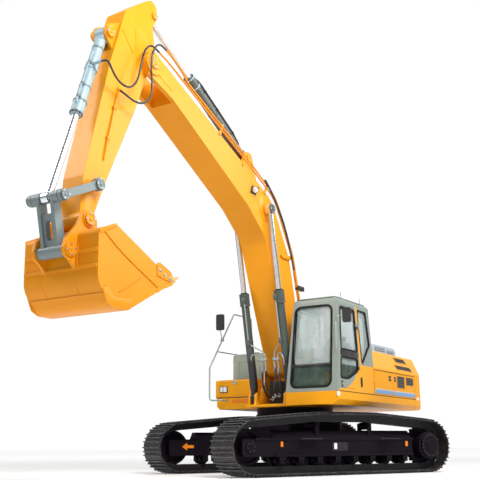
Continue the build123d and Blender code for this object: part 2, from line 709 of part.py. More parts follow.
rear_window = [(cab_inner_x + 150, 2100, 60), (deck_half_width - 130, 2100, 60),
               (deck_half_width - 160, 2950, 60), (cab_inner_x + 200, 2950, 60)]
right_window = [(-1000, 1700, 80), (200, 1700, 80), (190, 2990, 80), (-860, 2990, 80)]
hatch = (cab_inner_x + 260, deck_half_width - 240, -780.0, -150.0)
glass_thickness = 8.0
cab_knuckle = 50.0
cab_knuckle_radius = 13.0
cab_pin_radius = 6.0
cab_hinge_x = deck_half_width + cab_knuckle_radius + side_gap
cab_hinge_y = door_rear_y - side_gap / 2
cab_hinge_places = (420.0, 1180.0)        # up from the deck


def cab_side_x(z):
    # The cab's outer left face, which leans in above the window sill.
    return deck_half_width - cab_side_lean * max(z - 2050, 0) / (cab_roof_z - 2050)


def cab_hinge():
    return barrel_hinge((cab_hinge_x, cab_hinge_y, deck_top_z), (0, 0, 1), cab_knuckle_radius, cab_pin_radius,
                        cab_hinge_places, cab_knuckle)


def cab_hinge_leaf(z_low, way):
    # Foot on the cab's face and plate out to the knuckle; way is 1 for the fixed leaf, -1 for the door's.
    z_high = z_low + cab_knuckle
    foot_x = cab_side_x(z_high) - 12
    near, far = cab_hinge_y + way * 8, cab_hinge_y + way * 48
    leaf = block(foot_x, cab_hinge_x, near, far, z_low, z_high)
    leaf += block(cab_hinge_x - 9, cab_hinge_x, cab_hinge_y, far, z_low, z_high)
    return leaf


def cab_volume():
    return plate(cab_side, cab_inner_x - 1, deck_half_width + 1) & wall(cab_front, cab_front_y - 1, cab_rear_y + 1)


def cab_inside():
    inner_side = offset_points(cab_side, cab_wall)
    inner_front = offset_points(cab_front, cab_wall)
    return plate(inner_side, cab_inner_x, deck_half_width) & wall(inner_front, cab_front_y, cab_rear_y)


def cab_walls():
    return cab_volume() - cab_inside()


def left_cut(points):
    return plate(points, deck_half_width - 170, deck_half_width + 5)


def front_cut(points):
    return wall(points, cab_front_y - 5, cab_front_y + 300)


def cab_shell(walls):
    shell = walls - left_cut(door_outline) - left_cut(quarter_window)
    shell -= front_cut(windscreen_high) + front_cut(windscreen_low)
    shell -= wall(rear_window, cab_rear_y - 200, cab_rear_y + 5)
    shell -= plate(right_window, cab_inner_x - 5, cab_inner_x + 250)
    shell -= block(hatch[0], hatch[1], hatch[2], hatch[3], cab_roof_z - 80, cab_roof_z + 10)
    for start in cab_hinge_places:
        shell += cab_hinge_leaf(deck_top_z + start, 1)
    for piece in cab_hinge()["fixed"]:
        shell += piece
    return shell


def cab_door(walls):
    panel = walls & left_cut(offset_points(door_outline, side_gap))
    panel -= left_cut(door_window_high) + left_cut(door_window_low)
    bore = Cylinder(cab_pin_radius + pin_gap, cab_knuckle + 2)
    for start in cab_hinge_places:
        leaf_z = deck_top_z + start + cab_knuckle + 1
        panel += cab_hinge_leaf(leaf_z, -1) - Pos(cab_hinge_x, cab_hinge_y, leaf_z + cab_knuckle / 2) * bore
    for piece in cab_hinge()["moving"]:
        panel += piece
    return panel


def middle_of_walls():
    # A thin skin in the middle of the cab's walls, from which the panes are cut.
    deep = (cab_wall - glass_thickness) / 2
    outer = (plate(offset_points(cab_side, deep), cab_inner_x, deck_half_width)
             & wall(offset_points(cab_front, deep), cab_front_y, cab_rear_y))
    deep += glass_thickness
    inner = (plate(offset_points(cab_side, deep), cab_inner_x, deck_half_width)
             & wall(offset_points(cab_front, deep), cab_front_y, cab_rear_y))
    return outer - inner


def seat():
    base = block(820, 1180, -420, -60, deck_top_z + cab_wall, deck_top_z + 330)
    cushion = slab([(760, -560, 60), (1240, -560, 60), (1240, -30, 60), (760, -30, 60)],
                   deck_top_z + 330, deck_top_z + 470)
    back = plate([(-90, deck_top_z + 470), (40, deck_top_z + 470), (150, deck_top_z + 1130, 50),
                  (50, deck_top_z + 1130, 50)], 770, 1230)
    return base + cushion + back


def consoles():
    pair = [block(630, 740, -640, 20, deck_top_z + cab_wall, deck_top_z + 590),
            block(1260, 1370, -640, 20, deck_top_z + cab_wall, deck_top_z + 590)]
    return Compound(pair)


# ---------------------------------------------------------------- working arm
def cylinder_tube(foot, eye, tube_radius, gland_radius, rod_radius, length, half_eye, pin_radius, eye_radius):
    # Tube with its foot eye and gland, bored for the rod.
    tube = bar(foot, eye, tube_radius, eye_radius + 65, length)
    tube += neck(foot, eye, half_eye, eye_radius * 0.5, eye_radius + 66)
    tube += bar(foot, eye, gland_radius, length - 230, length - 20)
    tube += rod_at(foot, eye_radius, -half_eye, half_eye)
    tube -= rod_at(foot, pin_radius + pin_gap, -half_eye - 1, half_eye + 1)
    return tube - bar(foot, eye, rod_radius + 0.5, eye_radius + 60, length + 1)


def neck(a, b, half_width, start, end):
    # Flat bar between the foot eye and the closed end of a cylinder.
    angle = degrees(atan2(b[1] - a[1], b[0] - a[0]))
    flat = outline([(start, -60), (end, -60), (end, 60), (start, 60)])
    return extrude(Plane.YZ.offset(-half_width) * Pos(*a) * Rot(0, 0, angle) * flat, amount=2 * half_width)


def cylinder_rod(foot, eye, rod_radius, length, half_eye, eye_radius, stub_radius, half_stub):
    # Rod with its eye, and the stub pins at the eye's two ends.
    rest = between(foot, eye)
    rod = bar(foot, eye, rod_radius, rest - length, rest - eye_radius * 0.5)
    rod += rod_at(eye, eye_radius, -half_eye, half_eye)
    return rod + rod_at(eye, stub_radius, -half_stub, half_stub)


boom_tube = dict(tube_radius=78.0, gland_radius=97.0, rod_radius=52.0, length=2000.0, half_eye=42.0,
                 pin_radius=50.0, eye_radius=105.0)
arm_tube = dict(tube_radius=88.0, gland_radius=100.0, rod_radius=58.0, length=2070.0, half_eye=88.0,
                pin_radius=50.0, eye_radius=105.0)
bucket_tube = dict(tube_radius=85.0, gland_radius=96.0, rod_radius=52.0, length=1580.0, half_eye=84.0,
                   pin_radius=50.0, eye_radius=95.0)
boom_rod = dict(rod_radius=boom_tube["rod_radius"], length=2480.0, half_eye=48.0, eye_radius=105.0,
                stub_radius=70.0, half_stub=62.0)
arm_rod = dict(rod_radius=arm_tube["rod_radius"], length=1980.0, half_eye=55.0, eye_radius=100.0,
               stub_radius=50.0, half_stub=55.0)

boom_outline = [(-150, 1860, 100), (-110, 2120, 120), (-640, 4090, 900), (-1270, 5090, 700),
                (-2330, 5560, 1500), (-4990, 6640, 120), (-5260, 6500, 150), (-5170, 6230, 120),
                (-4490, 6020, 400), (-2160, 4790, 600), (-1560, 4330, 500), (-560, 1830, 120),
                (-354, 1780, 120)]


def boom_top(y):
    # Height of the boom's upper plate between the bend and the tip.
    slope = (6640 - 5560) / (-4990 + 2330) if y < -2330 else (5560 - 5090) / (-2330 + 1270)
    return 5560 + (y + 2330) * slope


def boom_under(y):
    # Height of the boom's lower plate behind the tip.
    return 4790 + (y + 2160) * (6020 - 4790) / (-4490 + 2160)


def boom():
    body = girder(boom_outline, boom_half_width, boom_plate)
    cheek_inner = arm_half_width + fork_gap
    root_y = boom_slot_y + 80
    slot = [(boom_slot_y, 5900), (boom_slot_y, 6900), (-5600, 6900), (-5600, 5900)]
    body -= plate(slot, -cheek_inner, cheek_inner)
    body += both_sides(rod_at(arm_pin, 190, cheek_inner, boom_half_width + 30))
    cheek = [(root_y, boom_under(root_y) + 10), (root_y, boom_top(root_y) - 10), (-4990, 6640, 120),
             (-5260, 6500, 150), (-5170, 6230, 120), (-4490, 6020, 400)]
    body += both_sides(plate(cheek, cheek_inner, boom_half_width))
    body += plate([(root_y, boom_under(root_y) + 10), (root_y, boom_top(root_y) - 10),
                   (boom_slot_y, boom_top(boom_slot_y) - 10), (boom_slot_y, boom_under(boom_slot_y) + 10)],
                  -cheek_inner - 2, cheek_inner + 2)
    body += rod_at(arm_pin, 55, -boom_half_width - 45, boom_half_width + 45)
    body += rod_at(boom_foot, 150, -boom_half_width, boom_half_width)
    body -= rod_at(boom_foot, 55 + pin_gap, -boom_half_width - 1, boom_half_width + 1)
    body += both_sides(rod_at(boom_cylinder_eye, 110, boom_half_width - 2, cylinder_x - 50 - side_gap))
    lug_front, lug_rear = arm_cylinder_foot[0] - 330, arm_cylinder_foot[0] + 360
    lug = [(lug_front, boom_top(lug_front) - 10), (lug_rear, boom_top(lug_rear) - 10),
           (arm_cylinder_foot[0] + 90, arm_cylinder_foot[1] + 110, 90),
           (arm_cylinder_foot[0] - 110, arm_cylinder_foot[1] + 110, 90)]
    body += both_sides(plate(lug, 94, 134))
    return body + rod_at(arm_cylinder_foot, 50, -150, 150)


arm_outline = [(-5100, 6150, 300), (-4890, 6830, 300), (-4967, 7180, 400), (-5125, 7520, 60),
               (-5620, 7110, 90), (-5935, 6100, 500), (-6400, 4190, 200), (-6450, 3560, 90),
               (-6372, 3410, 110), (-6200, 3560, 60), (-5960, 4160, 300), (-5320, 5560, 500)]
arm_lug_inner = 60.0          # lugs that hold the arm cylinder's eye
arm_lug_outer = 118.0
bucket_lug_inner = 90.0       # lugs that hold the bucket cylinder's foot


def arm():
    body = girder(arm_outline, arm_half_width, arm_plate)
    eye_y, eye_z = arm_cylinder_eye
    tail_lug = [(-4950, 7020), (eye_y + 30, eye_z - 110, 60), (eye_y + 90, eye_z + 20, 80),
                (eye_y + 50, eye_z + 190, 60), (eye_y - 60, eye_z + 255, 60), (eye_y - 180, eye_z + 200, 60),
                (-5135, 7480)]
    body += both_sides(plate(tail_lug, arm_lug_inner, arm_lug_outer))
    body += both_sides(rod_at(arm_cylinder_eye, 62, arm_lug_inner, arm_lug_outer + 22))
    body += rod_at(arm_pin, 175, -arm_half_width, arm_half_width)
    body -= rod_at(arm_pin, 55 + pin_gap, -arm_half_width - 1, arm_half_width + 1)
    foot_y, foot_z = bucket_cylinder_foot
    lug = [(-5650, 6900), (-5830, 6350), (foot_y - 90, foot_z - 60, 90), (foot_y - 60, foot_z + 110, 90)]
    body += both_sides(plate(lug, bucket_lug_inner, bucket_lug_inner + 45))
    body += both_sides(rod_at(bucket_cylinder_foot, 85, bucket_lug_inner, 172))
    body += rod_at(bucket_cylinder_foot, 50, -150, 150)
    body += rod_at(lever_pin, 85, -240, 240)
    body += rod_at(lever_pin, 50, -325, 325)
    body += rod_at(bucket_pin, 120, -240, 240)
    return body + rod_at(bucket_pin, 50, -335, 335)


lever_inner = 250.0
lever_outer = 305.0
link_boss = 240.0             # half width of the link's bosses
link_inner = 100.0            # between the link's plates, which hold the rod's eye
link_outer = 155.0
link_pin_radius = 45.0
link_window = 215.0           # from the upper pin to the web between the plates
link_hole = 440.0             # from the upper pin to the middle of the oval hole
link_hole_length = 160.0      # between the hole's two round ends' centres
link_hole_radius = 58.0
bucket_rod = dict(rod_radius=bucket_tube["rod_radius"], length=1630.0, half_eye=58.0, eye_radius=82.0,
                  stub_radius=link_pin_radius, half_stub=link_inner - 5)


def levers():
    reach = between(lever_pin, link_pin)
    angle = degrees(atan2(link_pin[1] - lever_pin[1], link_pin[0] - lever_pin[0]))
    web = outline([(0, -62), (reach, -54), (reach, 54), (0, 62)])
    pair = []
    for side in (-1, 1):
        a, b = sorted((side * lever_inner, side * lever_outer))
        piece = extrude(Plane.YZ.offset(a) * Pos(*lever_pin) * Rot(0, 0, angle) * web, amount=b - a)
        piece += rod_at(lever_pin, 98, a, b) + rod_at(link_pin, 85, a, b)
        piece -= rod_at(lever_pin, 50 + pin_gap, a - 1, b + 1)
        piece += rod_at(link_pin, link_pin_radius, *sorted((side * (link_inner + 5), side * (lever_outer + 25))))
        pair.append(piece)
    return Compound(pair)


def link():
    reach = between(link_pin, bucket_link_pin)
    angle = degrees(atan2(bucket_link_pin[1] - link_pin[1], bucket_link_pin[0] - link_pin[0]))
    place = Pos(*link_pin) * Rot(0, 0, angle)
    side_plate = place * outline([(0, -72), (reach, -72), (reach, 72), (0, 72)])
    piece = both_sides(extrude(Plane.YZ.offset(link_inner) * side_plate, amount=link_outer - link_inner))
    web = place * outline([(link_window, -42), (reach, -42), (reach, 42), (link_window, 42)])
    web = extrude(Plane.YZ.offset(-link_inner - 1) * web, amount=2 * link_inner + 2)
    down = Vector(0, bucket_link_pin[0] - link_pin[0], bucket_link_pin[1] - link_pin[1]).normalized()
    face = Plane(Vector(0, *link_pin) + down * link_hole, x_dir=(1, 0, 0), z_dir=down.cross(Vector(1, 0, 0)))
    piece += web - extrude(face * SlotCenterToCenter(link_hole_length, 2 * link_hole_radius, rotation=90),
                           amount=120, both=True)
    piece += both_sides(rod_at(link_pin, 85, link_inner, link_boss))
    piece += rod_at(bucket_link_pin, 92, -link_boss, link_boss)
    return piece - both_sides(rod_at(link_pin, link_pin_radius + pin_gap, link_inner - 1, link_boss + 1))


bucket_outline = [(-6230, 3440), (-6578, 3292, 70), (-6565, 2620, 300), (-6300, 2290, 260),
                  (-5960, 2290, 200), (-4970, 2830), (-4970, 2875)]
ear_outline = [(-6180, 3380), (-6215, 3600, 120), (-6430, 3690, 120), (-6600, 3400, 100), (-6790, 3180, 60),
               (-6840, 2990, 110), (-6690, 2900, 80), (-6560, 2780), (-6560, 3300), (-6400, 3350)]


def bucket():
    outside = plate(bucket_outline, -bucket_half_width, bucket_half_width)
    inner = [(-6150, 3550), (-6250, 3405), (-6548, 3270, 50), (-6538, 2630, 280), (-6290, 2318, 240),
             (-5965, 2318, 190), (-4900, 2898), (-4900, 3000)]
    shell = outside - plate(inner, -bucket_half_width + bucket_plate, bucket_half_width - bucket_plate)
    ears = plate(ear_outline[::-1], 250, 250 + fork_plate)
    ears += rod_at(bucket_pin, 120, 250, 320) + rod_at(bucket_link_pin, 105, 250, 320)
    ears -= rod_at(bucket_pin, 50 + pin_gap, 240, 330)
    cutter = [(-5330, 2880), (-5020, 2840, 40), (-4960, 2900), (-5010, 2990), (-5340, 3110, 60)]
    shell += both_sides(plate(cutter, bucket_half_width - 10, bucket_half_width + 12))
    return shell + both_sides(ears)


def teeth():
    row = []
    count = 5
    for i in range(count):
        x = (i - (count - 1) / 2) * (2 * bucket_half_width - 130) / (count - 1)
        row.append(plate([(-4970, 2812), (-4785, 2940), (-4790, 2962), (-4970, 2893)], x - 50, x + 50))
    return Compound(row)


# ---------------------------------------------------------------- rails, mirrors, pipes and hoses
rail_x = -1530.0
rail_front_y = -730.0
rail_foot_z = 1385.0
rail_top_z = 3235.0
rail_rear_y = 900.0
rail_bend = 70.0
rail_knee_z = 2030.0
rail_knee_rear_y = 190.0
rail_middle_z = 2382.0
mirror_root_y = -265.0


def rail_lean_z(y):
    # Height of the rail's leaning part.
    return rail_knee_z + (y - rail_front_y) * (rail_top_z - rail_knee_z) / (rail_knee_rear_y - rail_front_y)


def handrail():
    tank_x = -deck_half_width + 20
    main = [(-1250, toolbox_front_y, rail_foot_z), (-1250, rail_front_y, rail_foot_z),
            (rail_x, rail_front_y, rail_foot_z), (rail_x, rail_front_y, rail_knee_z),
            (rail_x, rail_knee_rear_y, rail_top_z), (rail_x, rail_rear_y, rail_top_z), (rail_x, rail_rear_y, 2200)]
    rail = tube_along(main, rail_radius, rail_bend)
    lean = (rail_top_z - rail_knee_z) / (rail_knee_rear_y - rail_front_y)
    middle_y = rail_front_y + (rail_middle_z - rail_knee_z) / lean
    rail += rod_along((rail_x, middle_y, rail_middle_z), (rail_x, rail_rear_y, rail_middle_z), rail_radius - 4)
    return rail + rod_x(rail_radius - 4, rail_rear_y, 2240, rail_x, tank_x)


def mirror_head(x, y, z, width, height):
    face = [(x - width / 2, z - height / 2, 30), (x + width / 2, z - height / 2, 30),
            (x + width / 2, z + height / 2, 30), (x - width / 2, z + height / 2, 30)]
    return wall(face, y - 28, y + 28)


def right_mirror():
    root_z = rail_lean_z(mirror_root_y)
    clamp = rod_x(34, mirror_root_y, root_z, rail_x - 25, rail_x + 25)
    stalk = rod_along((rail_x, mirror_root_y - 22, root_z + 22), (rail_x, -345, 2860), 10)
    rail = rod_along((rail_x, rail_front_y, rail_knee_z), (rail_x, rail_knee_rear_y, rail_top_z), rail_radius)
    return clamp + stalk + mirror_head(rail_x, -345, 3000, 175, 330) - rail


def left_mirror():
    z = 2765.0
    root = (deck_half_width - 60, front_y(z) + 20, z)
    arm_bar = rod_along(root, (root[0] + 40, root[1] - 70, z), 10)
    arm_bar += rod_along((root[0] + 40, root[1] - 70, z), (1700, -1165, z), 10)
    return arm_bar + mirror_head(1720, -1170, z, 150, 260) - cab_volume()


exhaust_x = -900.0
exhaust_y = 1800.0
exhaust_radius = 62.0


def exhaust():
    pipe = Pos(exhaust_x, exhaust_y, housing_top_z + 150) * Cylinder(exhaust_radius, 300)
    return pipe - Pos(exhaust_x, exhaust_y, housing_top_z + 200) * Cylinder(exhaust_radius - 6, 300)


# The boom's two hard pipes run over its upper edge, stacked on plates that stand on its side.
pipe_x = boom_half_width + 20.0
pipe_heights = (88.0, 153.0)              # over the boom's upper plate
pipe_tips = ([(315, -4930, 6660), (311, -4700, 6600), (300, -4480, 6530)],
             [(340, -4770, 6755), (310, -4567.5, 6725), (300, -4390, 6660), (300, -4255, 6570)])
pipe_clamps = (300.0, 1150.0, 2000.0)     # from the boom's bend to the clamps ahead of it
pipe_bend = 60.0                          # of the pipes' bent tips


def boom_pipes():
    pipes = []
    for height, tip in zip(pipe_heights, pipe_tips):
        edge = offset_points(boom_outline, -height)
        foot, knee, crown, shoulder, nose = edge[1:6]
        low = along(knee, foot, 1100)
        high = along(shoulder, nose, 1960)
        run = tip + [(pipe_x, high[0], high[1])]
        radii = [pipe_bend] * len(tip)
        for corner in (shoulder, crown, knee):
            run.append((pipe_x, corner[0], corner[1]))
            radii.append(corner[2])
        run.append((pipe_x, low[0], low[1]))
        path = FilletPolyline(*run, radius=radii)
        pipes.append(sweep(Plane(path @ 0, z_dir=path % 0) * Circle(pipe_radius), path=path))
    holders = []
    shoulder, nose = boom_outline[3], boom_outline[4]
    slant = degrees(atan2(nose[1] - shoulder[1], nose[0] - shoulder[0]))
    for place in pipe_clamps:
        at = along(shoulder, nose, place)
        holder = outline([(-25, 60), (25, 60), (25, -max(pipe_heights) - 30), (-25, -max(pipe_heights) - 30)])
        holders.append(extrude(Plane.YZ.offset(boom_half_width) * Pos(*at) * Rot(0, 0, slant) * holder, amount=20))
    body = pipes[0] + pipes[1]
    for holder in holders:
        body += holder
    return body


# Free hoses between the arm and the boom, from the arm's end to the boom's.
arm_hoses = {
    "arm_hose_upper": [(240, -6180, 5995), (360, -6180, 5995), (375, -6115, 5885), (370, -6015, 5785),
                       (370, -5895, 5725), (370, -5760, 5715), (370, -5630, 5765), (368, -5515, 5900),
                       (362, -5440, 6110), (350, -5385, 6345), (333, -5300, 6540), (322, -5165, 6680),
                       (317, -5045, 6690), (315, -4930, 6660)],
    "arm_hose_lower": [(240, -5740, 5695), (360, -5740, 5590), (385, -5605, 5545), (385, -5440, 5560),
                       (385, -5280, 5650), (385, -5175, 5810), (380, -5160, 6005), (380, -5195, 6205),
                       (388, -5200, 6400), (388, -5155, 6585), (380, -5050, 6725), (360, -4905, 6775),
                       (340, -4770, 6755)],
}


def hose(route):
    # Straight runs joined by tangent arcs, each as large as its two runs allow.
    corners = [Vector(*point) for point in route]
    radii = []
    for before, here, after in zip(corners, corners[1:], corners[2:]):
        turn = radians((here - before).get_angle(after - here))
        radii.append(0.45 * min((here - before).length, (after - here).length) / tan(turn / 2))
    path = FilletPolyline(*corners, radius=radii)
    print("hose radii", [round(radius) for radius in radii], "length", round(path.length))
    return sweep(Plane(path @ 0, z_dir=path % 0) * Circle(hose_radius), path=path)


def arm_pipe():
    # Pipe on the arm's left side, with the fitting that the lower hose leaves.
    start, following = (Vector(*point) for point in arm_hoses["arm_hose_lower"][:2])
    way = (following - start).normalized()
    x = arm_half_width + pipe_radius
    fitting = Plane(start - way * 40, z_dir=way) * Cylinder(24, 80)
    fitting -= block(0, arm_half_width, -6500, -5000, 5000, 6500)
    pipe = tube_along([(x, start.Y, start.Z + 35), (x, -5800, 5480), (x, -5962, 4778), (x, -6010, 4520)],
                      pipe_radius, 120)
    for y, z in ((-5820, 5395), (-5940, 4873)):
        pipe += block(arm_half_width, x + 20, y - 35, y + 35, z - 18, z + 18)
    return pipe + fitting


# ---------------------------------------------------------------- every node
def pair_of(maker):
    return Compound([turned(piece) for side in (1, -1) for piece in maker(side).solids()])


keep("track_left", turned(track(1)))
keep("track_right", turned(track(-1)))
keep("track_frames", pair_of(track_frame))
keep("idlers", pair_of(idler))
keep("sprockets", pair_of(sprocket))
keep("final_drives", pair_of(final_drive))
keep("track_rollers", pair_of(rollers))
keep("carrier_rollers", pair_of(carriers))
keep("car_body", turned(car_body()))
keep("slew_ring", slew_ring())

keep("revolving_frame", revolving_frame())
keep("counterweight", counterweight())
keep("engine_housing", housing())
keep("engine_block", block(-450, 480, 1500, 2250, deck_top_z, 2200))
for name, side, front, rear, hinge_front in side_doors:
    keep(name, side_door(side, front, rear, hinge_front))
keep("engine_hood", engine_hood())
keep("exhaust_pipe", exhaust())
keep("hydraulic_tank", tank())
keep("toolbox", toolbox())
keep("toolbox_lid", toolbox_lid())
keep("handrail", handrail())
keep("right_mirror", right_mirror())

cab_skin = cab_walls()
pane_skin = middle_of_walls()
keep("cab_shell", cab_shell(cab_skin))
keep("cab_door", cab_door(cab_skin))
keep("cab_door_glass", pane_skin & (left_cut(door_window_high) + left_cut(door_window_low)))
keep("windscreen", pane_skin & (front_cut(windscreen_high) + front_cut(windscreen_low)))
keep("cab_glass", Compound((pane_skin & left_cut(quarter_window)).solids()
                           + (pane_skin & plate(right_window, cab_inner_x - 5, cab_inner_x + 250)).solids()
                           + (pane_skin & wall(rear_window, cab_rear_y - 200, cab_rear_y + 5)).solids()))
keep("roof_hatch", pane_skin & block(hatch[0], hatch[1], hatch[2], hatch[3], cab_roof_z - 80, cab_roof_z + 10))
keep("operator_seat", seat())
keep("consoles", consoles())
keep("left_mirror", left_mirror())

keep("boom", boom())
keep("boom_pipes", boom_pipes())
tube = cylinder_tube(boom_cylinder_foot, boom_cylinder_eye, **boom_tube)
keep("boom_cylinder_tubes", Compound([Pos(cylinder_x, 0, 0) * tube, Pos(-cylinder_x, 0, 0) * tube]))
rod = cylinder_rod(boom_cylinder_foot, boom_cylinder_eye, **boom_rod)
outer_stub = block(boom_rod["half_eye"], boom_rod["half_stub"] + 8, -9000, 0, 0, 9000)
keep("boom_cylinder_rods", Compound([Pos(cylinder_x, 0, 0) * (rod - mirrored(outer_stub)),
                                     Pos(-cylinder_x, 0, 0) * (rod - outer_stub)]))
keep("arm_cylinder_tube", cylinder_tube(arm_cylinder_foot, arm_cylinder_eye, **arm_tube))
keep("arm_cylinder_rod", cylinder_rod(arm_cylinder_foot, arm_cylinder_eye, **arm_rod))
keep("arm", arm())
keep("arm_pipe", arm_pipe())
bucket_cylinder = cylinder_tube(bucket_cylinder_foot, link_pin, **bucket_tube)
port = arm_hoses["arm_hose_upper"][0]
bucket_cylinder += rod_x(24, port[1], port[2], 70, port[0])
bucket_cylinder += (bar(bucket_cylinder_foot, link_pin, 98, 620, 740)
                    - bar(bucket_cylinder_foot, link_pin, bucket_tube["rod_radius"] + 0.5, 600, 760))
keep("bucket_cylinder_tube", bucket_cylinder)
keep("bucket_cylinder_rod", cylinder_rod(bucket_cylinder_foot, link_pin, **bucket_rod))
keep("bucket_levers", levers())
keep("bucket_link", link())
keep("bucket", bucket())
keep("bucket_teeth", teeth())
for name, route in arm_hoses.items():
    keep(name, hose(route))

# ---------------------------------------------------------------- origin and files
whole = Compound([shape for shape in nodes.values()]).bounding_box()
origin_shift = Vector(-(whole.min.X + whole.max.X) / 2, -(whole.min.Y + whole.max.Y) / 2, -whole.min.Z)
os.makedirs("parts", exist_ok=True)
for name, shape in nodes.items():
    export_step(Pos(origin_shift) * shape, "parts/" + name + ".step")
print("origin shift", origin_shift)
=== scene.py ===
import bpy
import json
import math
from mathutils import Matrix, Vector


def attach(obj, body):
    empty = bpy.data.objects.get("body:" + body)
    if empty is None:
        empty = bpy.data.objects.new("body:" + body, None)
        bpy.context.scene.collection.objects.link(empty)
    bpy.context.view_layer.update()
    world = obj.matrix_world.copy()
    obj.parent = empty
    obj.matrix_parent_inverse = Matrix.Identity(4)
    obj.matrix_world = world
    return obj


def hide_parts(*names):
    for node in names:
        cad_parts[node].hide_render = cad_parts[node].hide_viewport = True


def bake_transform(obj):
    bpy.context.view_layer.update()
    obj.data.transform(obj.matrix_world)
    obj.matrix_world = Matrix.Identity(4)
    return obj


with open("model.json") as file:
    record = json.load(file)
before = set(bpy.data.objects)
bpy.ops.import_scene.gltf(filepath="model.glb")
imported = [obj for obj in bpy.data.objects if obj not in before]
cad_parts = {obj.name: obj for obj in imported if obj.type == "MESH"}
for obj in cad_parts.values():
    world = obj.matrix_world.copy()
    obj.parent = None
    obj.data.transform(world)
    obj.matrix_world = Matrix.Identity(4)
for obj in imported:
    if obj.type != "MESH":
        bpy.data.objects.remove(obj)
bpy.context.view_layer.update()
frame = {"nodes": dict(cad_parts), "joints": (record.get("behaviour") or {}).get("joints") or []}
nodes = frame["nodes"]

# every place below is measured from the slewing axis at the ground
slewing = [joint for joint in frame["joints"] if joint["name"] == "swing"][0]
home = Vector((slewing["pos_m"][0], slewing["pos_m"][1], 0.0))
trackTurn = math.radians(-25.4)      # the tracks stand turned under the house


# ---- camera
camera = {"place": (7.7082, -14.3186, 0.5346), "yaw": 31.7013, "pitch": 14.241, "roll": -0.398,
          "lens": 60.69, "shiftX": -0.0094, "shiftY": -0.002, "farthest": 400}


def linked(name, data):
    # a new object in the scene
    made = bpy.data.objects.new(name, data)
    bpy.context.scene.collection.objects.link(made)
    return made


def addCamera(c):
    yaw, pitch, roll = (math.radians(c[word]) for word in ("yaw", "pitch", "roll"))
    ahead = Vector((-math.sin(yaw) * math.cos(pitch), math.cos(yaw) * math.cos(pitch), math.sin(pitch)))
    right = ahead.cross(Vector((0, 0, 1))).normalized()
    up = right.cross(ahead)
    right, up = right * math.cos(roll) + up * math.sin(roll), up * math.cos(roll) - right * math.sin(roll)
    lens = bpy.data.cameras.new("camera")
    lens.lens, lens.shift_x, lens.shift_y = c["lens"], c["shiftX"], c["shiftY"]
    lens.clip_end = c["farthest"]
    seat = linked("camera", lens)
    turn = Matrix((right, up, -ahead)).transposed().to_4x4()
    seat.matrix_world = Matrix.Translation(home + Vector(c["place"])) @ turn
    bpy.context.scene.camera = seat


addCamera(camera)
bpy.context.scene.view_settings.view_transform = "Standard"
print("camera set")


# ---- cords: the two free hoses between the arm and the boom
hoses = {
    "armHoseUpper": {"node": "arm_hose_upper", "length": 2.05, "points": [
        (0.24, -6.18, 5.995), (0.36, -6.18, 5.995), (0.375, -6.115, 5.885), (0.37, -6.015, 5.785),
        (0.37, -5.895, 5.725), (0.37, -5.76, 5.715), (0.37, -5.63, 5.765), (0.368, -5.515, 5.9),
        (0.362, -5.44, 6.11), (0.35, -5.385, 6.345), (0.333, -5.3, 6.54), (0.322, -5.165, 6.68),
        (0.317, -5.045, 6.69), (0.315, -4.93, 6.66)]},
    "armHoseLower": {"node": "arm_hose_lower", "length": 2.05, "points": [
        (0.24, -5.74, 5.695), (0.36, -5.74, 5.59), (0.385, -5.605, 5.545), (0.385, -5.44, 5.56),
        (0.385, -5.28, 5.65), (0.385, -5.175, 5.81), (0.38, -5.16, 6.005), (0.38, -5.195, 6.205),
        (0.388, -5.2, 6.4), (0.388, -5.155, 6.585), (0.38, -5.05, 6.725), (0.36, -4.905, 6.775),
        (0.34, -4.77, 6.755)]},
}
hoseRadius = 0.017
hoseRound = {"sides": 3, "steps": 12}      # how finely a hose is drawn


def pickNothing():
    if bpy.context.object and bpy.context.object.mode != "OBJECT":
        bpy.ops.object.mode_set(mode="OBJECT")
    bpy.ops.object.select_all(action="DESELECT")


def pick(piece):
    pickNothing()
    piece.select_set(True)
    bpy.context.view_layer.objects.active = piece


def splineThrough(name, points):
    line = bpy.data.curves.new(name, "CURVE")
    line.dimensions = "3D"
    line.resolution_u = 12
    spline = line.splines.new("NURBS")
    spline.points.add(len(points) - 1)
    for knot, point in zip(spline.points, points):
        knot.co = (*point, 1.0)
    spline.order_u = 3
    spline.use_endpoint_u = True
    return line


def centreLine(points):
    # points along the smooth line that the route gives
    line = splineThrough("line", points)
    holder = linked("line", line)
    bpy.context.view_layer.update()
    drawn = bpy.data.meshes.new_from_object(holder)
    path = [vertex.co.copy() for vertex in drawn.vertices]
    bpy.data.objects.remove(holder)
    bpy.data.curves.remove(line)
    bpy.data.meshes.remove(drawn)
    return path


def bar(name, points, radius, sides=2, steps=6):
    # a round bar, pipe or hose through the points
    line = splineThrough(name, points)
    line.bevel_depth, line.bevel_resolution, line.use_fill_caps = radius, sides, True
    line.resolution_u = steps
    pick(linked(name, line))
    bpy.ops.object.convert(target="MESH")
    return bpy.context.view_layer.objects.active


cords = {}
for name, hose in hoses.items():
    route = [home + Vector(point) for point in hose["points"]]
    tube = bar(name, route, hoseRadius, **hoseRound)
    cords[name] = tube
    centreLine(route)
    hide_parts(hose["node"])
    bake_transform(tube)
print("hoses laid")


# ---- finishes
class Wire:
    # one node socket that can be reckoned with
    def __init__(self, paint, socket):
        self.paint = paint
        self.socket = socket

    def reckon(self, how, first, second):
        return self.paint.node("ShaderNodeMath", {"operation": how}, {0: first, 1: second})

    def __add__(self, other):
        return self.reckon("ADD", self, other)

    def __sub__(self, other):
        return self.reckon("SUBTRACT", self, other)

    def __mul__(self, other):
        return self.reckon("MULTIPLY", self, other)

    def __rsub__(self, other):
        return self.reckon("SUBTRACT", other, self)

    __radd__ = __add__
    __rmul__ = __mul__


